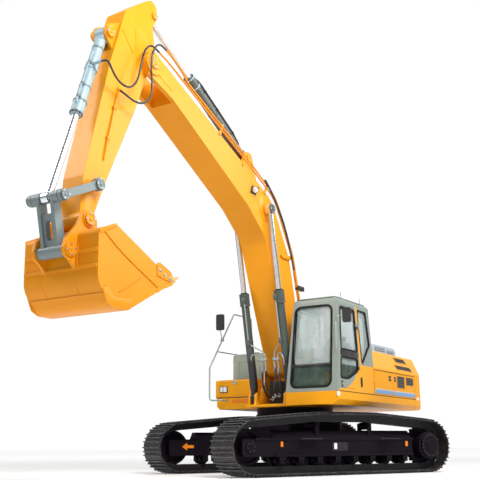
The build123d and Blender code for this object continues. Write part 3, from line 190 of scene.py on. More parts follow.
class Paint:
    # a node tree with one way of adding nodes
    def __init__(self, tree):
        self.tree = tree
        tree.nodes.clear()

    def find(self, sockets, word):
        if isinstance(word, int):
            return sockets[word]
        exact = [socket for socket in sockets if socket.identifier == word]
        return exact[0] if exact else sockets[word]

    def node(self, kind, settings=None, sockets=None, outlet=0):
        made = self.tree.nodes.new(kind)
        for word, value in (settings or {}).items():
            if word != "stops":
                setattr(made, word, value)
                continue
            stops = made.color_ramp.elements
            while len(stops) < len(value):
                stops.new(0.5)
            for stop, (place, colour) in zip(stops, value):
                stop.position, stop.color = place, (*colour, 1.0)
        for word, value in (sockets or {}).items():
            inlet = self.find(made.inputs, word)
            if isinstance(value, Wire):
                self.tree.links.new(value.socket, inlet)
            elif isinstance(value, (tuple, list)) and len(value) == 3 and inlet.type == "RGBA":
                inlet.default_value = (*value, 1.0)
            else:
                inlet.default_value = value
        return Wire(self, self.find(made.outputs, outlet)) if len(made.outputs) else None

    def place(self, stretch=(1, 1, 1)):
        where = self.node("ShaderNodeTexCoord", outlet="Object")
        if stretch == (1, 1, 1):
            return where
        return self.node("ShaderNodeMapping", {}, {"Vector": where, "Scale": stretch})

    def noise(self, scale, detail=3.0, rough=0.55, stretch=(1, 1, 1)):
        return self.node("ShaderNodeTexNoise", {}, {"Vector": self.place(stretch), "Scale": scale,
                                                    "Detail": detail, "Roughness": rough}, "Fac")

    def along(self, axis):
        return self.node("ShaderNodeSeparateXYZ", {}, {"Vector": self.place()}, axis)

    def ease(self, value, low, high):
        return self.node("ShaderNodeMapRange", {"interpolation_type": "SMOOTHSTEP"},
                         {"Value": value, "From Min": low, "From Max": high})

    def mix(self, share, first, second):
        return self.node("ShaderNodeMix", {"data_type": "RGBA"},
                         {"Factor_Float": share, "A_Color": first, "B_Color": second}, "Result_Color")

    def upward(self):
        normal = self.node("ShaderNodeNewGeometry", outlet="Normal")
        return self.node("ShaderNodeSeparateXYZ", {}, {"Vector": normal}, 2)

    def rounded(self, radius):
        return self.node("ShaderNodeBevel", {"samples": 4}, {"Radius": radius})

    def edges(self, soft):
        # 1 on the sharp edges of the shape, 0 on its flats
        flat = self.node("ShaderNodeNewGeometry", outlet="Normal")
        same = self.node("ShaderNodeVectorMath", {"operation": "DOT_PRODUCT"}, {0: soft, 1: flat}, "Value")
        return self.ease(1 - same, 0.02, 0.16)


def newPaint(name):
    material = bpy.data.materials.new(name)
    material.use_nodes = True
    return material, Paint(material.node_tree)


def closeCoat(paint, colour, rough, height=None, depth=0.001, soft=None, **constants):
    sockets = {"Base Color": colour, "Roughness": rough}
    for word, value in constants.items():
        sockets[word.replace("_", " ")] = value
    if height is not None:
        bump = {"Height": height, "Distance": depth, "Strength": 0.6}
        if soft is not None:
            bump["Normal"] = soft
        sockets["Normal"] = paint.node("ShaderNodeBump", {}, bump)
    elif soft is not None:
        sockets["Normal"] = soft
    coat = paint.node("ShaderNodeBsdfPrincipled", {}, sockets)
    paint.node("ShaderNodeOutputMaterial", {}, {"Surface": coat})


def shade(colour, factor):
    return tuple(min(1.0, part * factor) for part in colour)


# enamel: colour, share of dust low down, roughness, width of the rounded edges
enamels = {
    "boomEnamel": {"colour": (0.83, 0.318, 0.003), "dust": 0.05, "rough": 0.33, "edge": 0.006},
    "bucketEnamel": {"colour": (0.8, 0.292, 0.003), "dust": 0.12, "rough": 0.38, "edge": 0.008},
    "houseEnamel": {"colour": (0.88, 0.365, 0.003), "dust": 0.06, "rough": 0.3, "edge": 0.006},
    "pipeEnamel": {"colour": (0.8, 0.28, 0.008), "dust": 0.08, "rough": 0.36, "edge": 0.003},
    # cab grey: the tank's grey darkened, painted shade on the cab
    "cabEnamel": {"colour": (0.255, 0.3, 0.27), "dust": 0.08, "rough": 0.32, "edge": 0.006},
    "tankEnamel": {"colour": (0.47, 0.56, 0.47), "dust": 0.1, "rough": 0.36, "edge": 0.008},
    "hoodEnamel": {"colour": (0.42, 0.51, 0.6), "dust": 0.06, "rough": 0.32, "edge": 0.008},
    "railEnamel": {"colour": (0.34, 0.4, 0.38), "dust": 0.06, "rough": 0.34, "edge": 0.003},
    "boomTubeEnamel": {"colour": (0.07, 0.088, 0.08), "dust": 0.05, "rough": 0.32, "edge": 0.004},
    "armTubeEnamel": {"colour": (0.085, 0.105, 0.095), "dust": 0.06, "rough": 0.34, "edge": 0.004},
    "bucketTubeEnamel": {"colour": (0.33, 0.46, 0.52), "dust": 0.06, "rough": 0.32, "edge": 0.004},
    "leverEnamel": {"colour": (0.19, 0.24, 0.25), "dust": 0.12, "rough": 0.38, "edge": 0.007},
    "chassisSteel": {"colour": (0.03, 0.028, 0.034), "dust": 0.05, "rough": 0.5, "edge": 0.004},
    "chassisEnamel": {"colour": (0.0058, 0.0036, 0.0085), "dust": 0.006, "rough": 0.46, "edge": 0.007},
    "ironCast": {"colour": (0.07, 0.08, 0.09), "dust": 0.15, "rough": 0.55, "edge": 0.01},
    "decalBlue": {"colour": (0.2, 0.36, 0.6), "dust": 0.03, "rough": 0.38, "edge": 0.001},
    "decalPaleBlue": {"colour": (0.55, 0.62, 0.7), "dust": 0.03, "rough": 0.38, "edge": 0.001},
    "decalOrange": {"colour": (0.86, 0.24, 0.008), "dust": 0.03, "rough": 0.4, "edge": 0.001},
    "reflectorWhite": {"colour": (0.86, 0.87, 0.88), "dust": 0.03, "rough": 0.22, "edge": 0.002},
}


def enamel(paint, colour, e):
    # broad fading, a fine mottle, dust that gathers low and on ledges, and paler edges
    soft = paint.rounded(e["edge"])
    fading = paint.ease(paint.noise(0.55, 4.0), 0.3, 0.72)
    mottle = paint.ease(paint.noise(23.0, 5.0), 0.35, 0.7)
    streaks = paint.ease(paint.noise(3.2, 4.0, stretch=(3.0, 3.0, 0.22)), 0.52, 0.78)
    dusty = paint.ease(paint.upward(), 0.55, 0.98) * 0.7 + paint.ease(paint.along(2), 2.2, 0.2) * 0.4
    dusty = dusty * paint.ease(paint.noise(6.0, 6.0, 0.65), 0.38, 0.68)
    tone = paint.mix(fading, colour, paint.mix(0.1, colour, (0.03, 0.02, 0.012)))
    tone = paint.mix(mottle * 0.04, tone, e["pale"])
    tone = paint.mix(streaks * (0.5 * e["dust"]), tone, (0.1, 0.075, 0.05))
    tone = paint.mix(dusty * e["dust"], tone, (0.36, 0.31, 0.25))
    tone = paint.mix(paint.edges(soft) * 0.22, tone, e["pale"])
    rough = e["rough"] + mottle * 0.06 + dusty * 0.22 + streaks * 0.05
    peel = paint.noise(140.0, 2.0) * 0.6 + paint.noise(28.0, 2.0) * 0.4
    return tone, rough, peel, soft


for e in enamels.values():
    e["shine"] = 0.1 if sum(e["colour"]) < 0.1 else 0.24 if e["colour"][2] < 0.02 else 0.4
    e["pale"] = tuple(0.72 * part + 0.09 * sum(e["colour"]) for part in shade(e["colour"], 1.3))


def enamelPaint(name, e, lower=None):
    # lower: the colour near the ground, if it is another one
    material, paint = newPaint(name)
    tone, rough, peel, soft = enamel(paint, e["colour"], e)
    if lower:
        tone = paint.mix(paint.ease(paint.along(2), 2.2, 2.0) * 0.8, tone, lower)
    closeCoat(paint, tone, rough, peel, peelDepth, soft, Specular_IOR_Level=e["shine"])
    return material


peelDepth = 0.0006
finishes = {name: enamelPaint(name, e) for name, e in enamels.items()}
# the boom's cylinders are nearly black at their lower ends
finishes["boomTubes"] = enamelPaint("boomTubes", enamels["boomTubeEnamel"], (0.014, 0.01, 0.018))

# cab: grey enamel, kept darker than the tank's grey as painted shade, with the lower rear corner and the door
# post in the machine's yellow
cabBoundary = {"curveMiddle": (-1.06, 2.35), "curveRadius": 0.86, "postFront": -0.262, "postRear": -0.19,
               "postLow": 1.96, "postHigh": 3.06, "sillHigh": 1.955, "sillZ": 1.441, "frontLean": 0.109,
               "frontY": -1.24, "rearY": 0.345, "innerX": 0.508, "outerX": 1.505, "roofZ": 3.125,
               "frontEdge": -1.16, "skinX": 1.4, "leftLeanZ": 2.05, "leftLean": 0.0528, "rightLean": 0.0697}


def cabPaint(c):
    material, paint = newPaint("cabTwoTone")
    y, z = paint.along(1) - home.y, paint.along(2)
    post = paint.ease(y, c["postFront"] - 0.002, c["postFront"]) * paint.ease(y, c["postRear"] + 0.002,
            c["postRear"])
    post = post * paint.ease(z, c["postHigh"] + 0.002, c["postHigh"]) * paint.ease(z, c["postLow"] - 0.02,
            c["postLow"])
    away = paint.node("ShaderNodeVectorMath", {"operation": "LENGTH"}, {0: paint.node(
        "ShaderNodeCombineXYZ", {}, {0: y - c["curveMiddle"][0], 1: z - c["curveMiddle"][1]})}, "Value")
    lower = paint.ease(away, c["curveRadius"], c["curveRadius"] + 0.003)
    lower = lower * paint.ease(z, c["sillHigh"] + 0.002, c["sillHigh"]) * paint.ease(y, c["frontEdge"],
            c["frontEdge"] + 0.002)
    outer = paint.ease(paint.along(0) - home.x, c["skinX"], c["skinX"] + 0.01)
    yellow = paint.node("ShaderNodeMath", {"operation": "MAXIMUM"}, {0: post, 1: lower}) * outer
    colour = paint.mix(yellow, enamels["cabEnamel"]["colour"], enamels["houseEnamel"]["colour"])
    tone, rough, peel, soft = enamel(paint, colour, enamels["cabEnamel"])
    x = paint.along(0) - home.x
    front = y - (z - c["sillZ"]) * c["frontLean"] - c["frontY"]
    left = x + paint.node("ShaderNodeMath", {"operation": "MAXIMUM"}, {0: z - c["leftLeanZ"],
            1: 0.0}) * c["leftLean"]
    right = x - (z - c["sillZ"]) * c["rightLean"]
    # the cab's inside faces near-black: a dark lining, and painted shade for the dim inside of the closed cab
    liningAndShade = paint.ease(front, 0.022, 0.024) * paint.ease(y, c["rearY"] + 0.002, c["rearY"])
    liningAndShade = liningAndShade * paint.ease(right, c["innerX"], c["innerX"] + 0.002) * paint.ease(left,
            c["outerX"] + 0.002, c["outerX"])
    liningAndShade = liningAndShade * paint.ease(z, c["roofZ"] + 0.002, c["roofZ"])
    tone = paint.mix(liningAndShade, tone, paint.mix(paint.noise(13.0, 4.0), (0.03, 0.034, 0.033),
                                             (0.06, 0.066, 0.062)))
    rough = rough + liningAndShade * 0.25
    closeCoat(paint, tone, rough, peel, peelDepth, soft, Specular_IOR_Level=0.4)
    return material


finishes["cabTwoTone"] = cabPaint(cabBoundary)


def mirrorPaint(name, axis, beyond):
    # grey stalk with a black moulded head past a given place
    material, paint = newPaint(name)
    head = paint.ease(paint.along(axis) - (home.x if axis == 0 else 0.0), beyond, beyond + 0.004)
    tone, rough, peel, soft = enamel(paint, enamels["railEnamel"]["colour"], enamels["railEnamel"])
    grain = paint.noise(260.0, 2.0)
    black = paint.mix(paint.noise(9.0, 3.0), (0.012, 0.012, 0.014), (0.028, 0.028, 0.03))
    closeCoat(paint, paint.mix(head, tone, black), rough + head * 0.15, peel + grain * 0.5, 0.0007, soft)
    return material


finishes["leftMirror"] = mirrorPaint("leftMirrorFinish", 0, 1.635)
finishes["rightMirror"] = mirrorPaint("rightMirrorFinish", 2, 2.832)

# plain finishes: pale and dark tone, how coarse the change is, roughness, bump
surfaces = {
    "rubber": {"tones": ((0.006, 0.006, 0.007), (0.016, 0.016, 0.016)), "scale": 11.0,
        "rough": (0.42, 0.66), "grain": 190.0, "depth": 0.0006, "shine": 0.15},
    "hoseRubber": {"tones": ((0.014, 0.015, 0.015), (0.045, 0.046, 0.044)), "scale": 7.0,
        "rough": (0.26, 0.48), "grain": 120.0, "depth": 0.0006},
    "blackPlastic": {"tones": ((0.012, 0.012, 0.013), (0.032, 0.031, 0.03)), "scale": 9.0,
        "rough": (0.34, 0.55), "grain": 300.0, "depth": 0.0005},
    "greyPlastic": {"tones": ((0.06, 0.064, 0.066), (0.105, 0.108, 0.105)), "scale": 9.0,
        "rough": (0.42, 0.62), "grain": 320.0, "depth": 0.0005},
    # near-black: dark joints, and painted shade in gaps, recesses and behind vents and grilles
    "darkGap": {"tones": ((0.006, 0.005, 0.006), (0.018, 0.015, 0.014)), "scale": 5.0,
        "rough": (0.65, 0.85), "grain": 60.0, "depth": 0.0008},
    "lampLens": {"tones": ((0.8, 0.83, 0.84), (0.93, 0.94, 0.93)), "scale": 14.0, "rough": (0.08, 0.22),
        "grain": 70.0, "depth": 0.0012},
    "mirrorFace": {"tones": ((0.62, 0.66, 0.68), (0.78, 0.81, 0.82)), "scale": 6.0, "rough": (0.04, 0.12),
        "grain": 20.0, "depth": 0.0002, "metal": 1.0},
    "zinc": {"tones": ((0.4, 0.41, 0.42), (0.64, 0.65, 0.66)), "scale": 30.0, "rough": (0.28, 0.48),
        "grain": 160.0, "depth": 0.0004, "metal": 0.9},
    "floorMat": {"tones": ((0.02, 0.02, 0.021), (0.045, 0.043, 0.041)), "scale": 8.0, "rough": (0.6, 0.85),
        "grain": 90.0, "depth": 0.0012},
}


def plainPaint(name):
    s = surfaces[name]
    material, paint = newPaint(name)
    change = paint.ease(paint.noise(s["scale"], 5.0), 0.32, 0.72)
    dust = paint.ease(paint.noise(s["scale"] * 0.31, 4.0), 0.45, 0.8)
    tone = paint.mix(dust * 0.08, paint.mix(change, *s["tones"]), (0.35, 0.3, 0.25))
    low, high = s["rough"]
    closeCoat(paint, tone, low + (high - low) * change + dust * 0.05, paint.noise(s["grain"], 2.0),
              s["depth"], Metallic=s.get("metal", 0.0), Specular_IOR_Level=s.get("shine", 0.5))
    return material


finishes.update({name: plainPaint(name) for name in surfaces})


def rodPaint():
    # hard chrome with faint lengthwise wear and an oil film
    material, paint = newPaint("rodChrome")
    film = paint.ease(paint.noise(2.4, 4.0), 0.35, 0.75)
    wear = paint.noise(18.0, 3.0, stretch=(1.0, 0.3, 0.08))
    tone = paint.mix(film, (0.8, 0.83, 0.87), (0.66, 0.68, 0.71))
    closeCoat(paint, tone, 0.1 + film * 0.08 + wear * 0.08, wear, 0.0002, Metallic=0.92)
    return material


def trackPaint():
    # dark shoes with bright worn edges that also carry a painted highlight, painted shade on the side faces,
    # and dried soil between them
    material, paint = newPaint("shoeSteel")
    soft = paint.rounded(0.008)
    wornAndHighlight = paint.edges(soft) * paint.ease(paint.noise(9.0, 4.0), 0.25, 0.62)
    soil = paint.ease(paint.noise(5.0, 6.0, 0.7), 0.5, 0.78)
    rust = paint.ease(paint.noise(14.0, 5.0), 0.45, 0.75)
    tone = paint.mix(rust, (0.022, 0.019, 0.024), (0.05, 0.034, 0.026))
    tone = paint.mix(soil * 0.35, tone, (0.1, 0.078, 0.055))
    normal = paint.node("ShaderNodeNewGeometry", outlet="Normal")
    across = (math.cos(trackTurn), math.sin(trackTurn), 0.0)
    facing = paint.node("ShaderNodeVectorMath", {"operation": "DOT_PRODUCT"}, {0: normal, 1: across}, "Value")
    # painted shade: the shoes' side faces darkened by the way they face
    sideShade = paint.ease(facing * facing, 0.55, 0.85)
    tone = paint.mix(sideShade * 0.85, tone, (0.008, 0.006, 0.01))
    # bright worn edges: bare steel, and a painted highlight
    tone = paint.mix(wornAndHighlight * (1 - sideShade * 0.7), tone, (0.56, 0.66, 0.7))
    closeCoat(paint, tone, 0.52 + soil * 0.25 - wornAndHighlight * 0.2, paint.noise(65.0, 4.0), 0.0016, soft,
              Metallic=wornAndHighlight * 0.75 + 0.15)
    return material


def toothPaint():
    # painted points that are worn bare towards their tips
    material, paint = newPaint("toothWorn")
    soft = paint.rounded(0.006)
    bare = paint.ease(paint.along(1) - home.y, -4.93, -4.82) * 0.55 + paint.edges(soft) * 0.5
    bare = bare * paint.ease(paint.noise(22.0, 5.0), 0.3, 0.6)
    tone = paint.mix(bare, (0.8, 0.43, 0.05), (0.46, 0.44, 0.41))
    closeCoat(paint, tone, 0.4 + paint.noise(30.0, 3.0) * 0.2, paint.noise(80.0, 3.0), 0.0008, soft,
              Metallic=bare * 0.8)
    return material


def glassPaint(name, tint, veil):
    # tinted safety glass: painted pale reflections over a mirror-like face, and painted shade low down,
    # darker and less clear, for the dark cab behind it
    material, paint = newPaint(name)
    # painted reflection: pale patches that whiten the glass
    paleReflection = paint.ease(paint.noise(1.6, 3.0, stretch=(1.0, 1.0, 0.6)), 0.35, 0.66)
    wiped = paint.ease(paint.noise(7.0, 5.0), 0.4, 0.8)
    # painted shade: low down the glass turns darker and less clear
    low = paint.ease(paint.along(2), 1.96, 1.9)
    tone = paint.mix(paleReflection * (1 - low), tint, (0.9, 0.97, 0.99))
    tone = paint.mix(low, tone, paint.mix(wiped, (0.07, 0.11, 0.088), (0.17, 0.22, 0.185)))
    closeCoat(paint, tone, 0.04 + wiped * 0.05, Metallic=0.35,
              Alpha=veil + paleReflection * 0.14 + wiped * 0.05 + low * 0.34)
    return material


def seatPaint():
    # coarse woven cloth, two dark yarns
    material, paint = newPaint("seatCloth")
    weave = paint.node("ShaderNodeTexWave", {"bands_direction": "X"}, {"Vector": paint.place(),
            "Scale": 95.0})
    weft = paint.node("ShaderNodeTexWave", {"bands_direction": "Z"}, {"Vector": paint.place(), "Scale": 95.0})
    depth = paint.node("ShaderNodeTexWave", {"bands_direction": "Y"}, {"Vector": paint.place(),
            "Scale": 95.0})
    yarn = (weave + weft + depth) * 0.333
    fade = paint.ease(paint.noise(4.0, 4.0), 0.3, 0.7)
    tone = paint.mix(yarn, (0.02, 0.022, 0.026), (0.07, 0.075, 0.085))
    tone = paint.mix(fade * 0.18, tone, (0.16, 0.15, 0.14))
    closeCoat(paint, tone, 0.86 - fade * 0.08, yarn, 0.0012, Sheen_Weight=0.4, Sheen_Roughness=0.4)
    return material


finishes["rodChrome"] = rodPaint()
finishes["shoeSteel"] = trackPaint()
finishes["toothWorn"] = toothPaint()
finishes["cabGlass"] = glassPaint("cabGlass", (0.66, 0.82, 0.8), 0.34)
finishes["seatCloth"] = seatPaint()

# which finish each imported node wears
nodeFinish = {
    "boomEnamel": ("boom", "arm"),
    "bucketEnamel": ("bucket",),
    "pipeEnamel": ("boom_pipes", "arm_pipe"),
    "houseEnamel": ("engine_housing", "revolving_frame", "counterweight", "left_front_door",
        "left_rear_door", "right_rear_door", "toolbox", "toolbox_lid"),
    "cabTwoTone": ("cab_shell", "cab_door"),
    "tankEnamel": ("hydraulic_tank",),
    "hoodEnamel": ("engine_hood",),
    "railEnamel": ("handrail", "exhaust_pipe"),
    "leftMirror": ("left_mirror",),
    "rightMirror": ("right_mirror",),
    "boomTubes": ("boom_cylinder_tubes",),
    "armTubeEnamel": ("arm_cylinder_tube",),
    "bucketTubeEnamel": ("bucket_cylinder_tube",),
    "leverEnamel": ("bucket_levers", "bucket_link"),
    "rodChrome": ("boom_cylinder_rods", "arm_cylinder_rod", "bucket_cylinder_rod"),
    "chassisEnamel": ("track_frames", "idlers", "sprockets", "final_drives", "track_rollers",
        "carrier_rollers", "car_body", "slew_ring"),
    "shoeSteel": ("track_left", "track_right"),
    "toothWorn": ("bucket_teeth",),
    "cabGlass": ("cab_door_glass", "cab_glass", "windscreen", "roof_hatch"),
    "greyPlastic": ("consoles",),
    "ironCast": ("engine_block",),
    "seatCloth": ("operator_seat",),
}


def wear(piece, finish):
    piece.data.materials.clear()
    piece.data.materials.append(finishes[finish])


for finish, names in nodeFinish.items():
    for name in names:
        for slot in nodes[name].material_slots:
            slot.material = finishes[finish]
for tube in cords.values():
    wear(tube, "hoseRubber")
print("finishes made:", len(finishes))


# ---- pieces: each starts as a primitive and is shaped in edit mode, in metres from the slewing axis
planeAxes = {"side": (1, 2, 0), "front": (0, 2, 1), "plan": (0, 1, 2)}
finishSlots = {
    "yellow_paint": ("boomEnamel", "bucketEnamel", "houseEnamel", "pipeEnamel", "decalBlue",
        "decalPaleBlue", "decalOrange", "reflectorWhite"),
    "grey_paint": ("cabEnamel", "tankEnamel", "hoodEnamel"),
    "rail_grey": ("railEnamel", "zinc", "mirrorFace"),
    "cylinder_grey": ("boomTubeEnamel", "armTubeEnamel", "bucketTubeEnamel", "leverEnamel"),
    "chassis_black": ("chassisEnamel", "chassisSteel"),
    "track_steel": ("shoeSteel",),
    "tooth_steel": ("toothWorn",),
    "hose_rubber": ("rubber", "hoseRubber"),
    "dark_plastic": ("blackPlastic", "greyPlastic", "darkGap", "floorMat"),
    "glass": ("lampLens", "cabGlass"),
    "seat_fabric": ("seatCloth",),
    "engine_iron": ("ironCast",),
}


def spread(plane, point, depth):
    first, second, third = planeAxes[plane]
    place = [0.0, 0.0, 0.0]
    place[first], place[second], place[third] = point[0], point[1], depth
    return place


def grown(points, by):
    # the same outline moved outward from its middle
    middle = [sum(point[i] for point in points) / len(points) for i in (0, 1)]
    return [tuple(part + math.copysign(by, part - centre) for part, centre in zip(point, middle))
            for point in points]


def openEdit(name):
    piece = bpy.context.active_object
    piece.name = piece.data.name = name
    bpy.ops.object.mode_set(mode="EDIT")
    bpy.ops.mesh.select_all(action="SELECT")
    return piece


def closeEdit():
    bpy.ops.mesh.select_all(action="SELECT")
    bpy.ops.mesh.normals_make_consistent(inside=False)
    bpy.ops.object.mode_set(mode="OBJECT")


def cutShape(name, plane, points, start, end, curve=0.0, ring=0.0):
    # an outline, with rounded corners or as a ring, drawn out from start to end
    pickNothing()
    bpy.ops.mesh.primitive_circle_add(vertices=len(points), fill_type="NGON")
    for vertex, point in zip(bpy.context.active_object.data.vertices, points):
        vertex.co = spread(plane, point, start)
    piece = openEdit(name)
    if curve:
        bpy.ops.mesh.bevel(offset=curve, affect="VERTICES", segments=5)
        bpy.ops.mesh.select_all(action="SELECT")
    if ring:
        bpy.ops.mesh.inset(thickness=ring)
        bpy.ops.mesh.delete(type="FACE")
        bpy.ops.mesh.select_all(action="SELECT")
    bpy.ops.mesh.extrude_region_move(TRANSFORM_OT_translate={"value": spread(plane, (0, 0), end - start)})
    closeEdit()
    return piece


def turnedShape(name, profile, sides=20, through=False):
    # rings of (radius, height) stacked along Z, closed by a face at each end or back to the first ring
    pickNothing()
    bpy.ops.mesh.primitive_circle_add(vertices=sides, radius=profile[0][0], fill_type="NOTHING"
                                      if through else "NGON")
    piece = openEdit(name)
    bpy.ops.transform.translate(value=(0, 0, profile[0][1]))
    rings = profile + profile[:1] if through else profile
    for (radius, height), (nextRadius, nextHeight) in zip(rings, rings[1:]):
        bpy.ops.mesh.extrude_region_move(TRANSFORM_OT_translate={"value": (0, 0, nextHeight - height)})
        share = nextRadius / radius
        bpy.ops.transform.resize(value=(share, share, 1), center_override=(0, 0, 0))
    bpy.ops.mesh.select_all(action="SELECT")
    bpy.ops.mesh.remove_doubles(threshold=0.0001)
    closeEdit()
    return piece


def stand(piece, place, axis=(0, 0, 1), scale=1.0):
    turn = Vector(axis).to_track_quat("Z", "Y").to_matrix().to_4x4()
    piece.data.transform(Matrix.Translation(place) @ turn @ Matrix.Scale(scale, 4))
    return piece


def together(name, parts):
    pickNothing()
    for part in parts:
        part.select_set(True)
    bpy.context.view_layer.objects.active = parts[0]
    if len(parts) > 1:
        bpy.ops.object.join()
    piece = bpy.context.view_layer.objects.active
    piece.name = piece.data.name = name
    return piece


def copies(name, template, places, axis=(0, 0, 1), scale=1.0):
    # the template at each place, turned a little more each time
    made = []
    for number, place in enumerate(places):
        one = linked(name, template.data.copy())
        one.data.transform(Matrix.Rotation(0.7 * number, 4, "Z"))
        made.append(stand(one, place, axis, scale))
    return together(name, made)


def mirrorOver(piece):
    # the same piece on the other side of the machine's middle
    other = linked(piece.name + "Right", piece.data.copy())
    other.data.transform(Matrix.Scale(-1, 4, (1, 0, 0)))
    other.data.flip_normals()
    return other


roundAngle, smoothAngle = math.radians(38), math.radians(36)


def settle(piece, body, finish, bevel=0.0, turned=False):
    # rounded edges, the machine's place, its finish and the body that it rides on
    pick(piece)
    if bevel:
        rounding = piece.modifiers.new("rounding", "BEVEL")
        rounding.width, rounding.segments, rounding.angle_limit = bevel, 2, roundAngle
        bpy.ops.object.modifier_apply(modifier="rounding")
    bpy.ops.object.shade_smooth_by_angle(angle=smoothAngle)
    turn = Matrix.Rotation(trackTurn, 4, "Z") if turned else Matrix()
    piece.data.transform(Matrix.Translation(home) @ turn)
    wear(piece, finish)
    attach(piece, body)
    [slot for slot, names in finishSlots.items() if finish in names][0]
    return piece


def settlePair(piece, body, finish, bevel=0.0, turned=False):
    # the piece and its mirror image
    settle(mirrorOver(piece), body, finish, bevel, turned)
    settle(piece, body, finish, bevel, turned)


# how the cab's front, its left side above the sill and the seat's back lean: axis, height of the foot, share
leanings = {"front": (1, 1.441, 0.1091), "side": (0, 2.05, -0.0528), "seat": (1, 1.911, 0.17)}


def lean(piece, face):
    axis, foot, share = leanings[face]
    for vertex in piece.data.vertices:
        rise = vertex.co.z - foot
        vertex.co[axis] += (max(rise, 0.0) if face == "side" else rise) * share


def cutPieces(group, **shared):
    # every outline piece of a group, from its own settings and the shared ones
    for name, own in group.items():
        s = {**shared, **own}
        piece = cutShape(name, s["plane"], s["points"], *s["span"], s.get("curve", 0.0), s.get("ring", 0.0))
        if "face" in s:
            lean(piece, s["face"])
        place = settlePair if s.get("both") else settle
        place(piece, s["body"], s["finish"], s.get("bevel", 0.002), s.get("turned", False))


def bendBars(group, **shared):
    # every bar, pipe or weld bead of a group
    for name, own in group.items():
        s = {**shared, **own}
        settle(bar(name, s["points"], s["radius"]), s["body"], s["finish"])


def boxed(low, high):
    # corners of a rectangle
    return [(low[0], low[1]), (high[0], low[1]), (high[0], high[1]), (low[0], high[1])]


hexBolt = together("hexBolt", [turnedShape("washer", [(0.019, 0.0), (0.019, 0.0022), (0.0172, 0.0032)], 14),
                               turnedShape("head", [(0.0135, 0.003), (0.0135, 0.0095), (0.0115, 0.012)], 6)])
print("shop ready")

# ---- cab: window seals, door trim, handles, wiper, aerials and what is inside
screen = [(0.59, 1.53), (1.385, 1.53), (1.38, 2.99), (0.648, 2.99)]
doorUpper = [(-1.033, 2.19), (-0.33, 2.19), (-0.33, 2.97), (-0.945, 2.97)]
doorLower = [(-1.099, 1.68), (-0.75, 1.68), (-0.35, 1.85), (-0.35, 2.05), (-1.058, 2.05)]
quarter = [(-0.175, 2.03), (-0.11, 1.985), (0.275, 2.37), (0.215, 3.005), (-0.175, 3.005)]
rearPane = [(0.635, 2.1), (1.4, 2.1), (1.37, 2.95), (0.685, 2.95)]
rightPane = [(-1.0, 1.7), (0.2, 1.7), (0.19, 2.99), (-0.86, 2.99)]
cabSeals = {
    "screenSeal": {"plane": "front", "points": grown(screen, 0.026), "span": (-1.2465, -1.212),
        "curve": 0.13, "ring": 0.04, "face": "front"},
    "screenSideBand": {"plane": "front", "points": [(0.586, 1.62), (0.622, 1.62), (0.674, 2.9),
        (0.64, 2.9)], "span": (-1.23, -1.213), "face": "front"},
    "doorUpperSeal": {"points": grown(doorUpper, 0.022), "span": (1.498, 1.5365), "curve": 0.06,
        "ring": 0.04, "face": "side", "body": "cab_door"},
    "doorLowerSeal": {"points": grown(doorLower, 0.022), "span": (1.498, 1.5365), "curve": 0.06,
        "ring": 0.04, "face": "side", "body": "cab_door"},
    "quarterSeal": {"points": grown(quarter, 0.01), "span": (1.498, 1.5365), "curve": 0.035, "ring": 0.028,
        "face": "side"},
    "rearPaneSeal": {"plane": "front", "points": grown(rearPane, 0.008), "span": (0.338, 0.3795),
        "curve": 0.065, "ring": 0.026},
    "rightPaneSeal": {"points": grown(rightPane, 0.008), "span": (0.4785, 0.52), "curve": 0.085,
        "ring": 0.026},
}
cutPieces(cabSeals, plane="side", body="superstructure", finish="rubber")

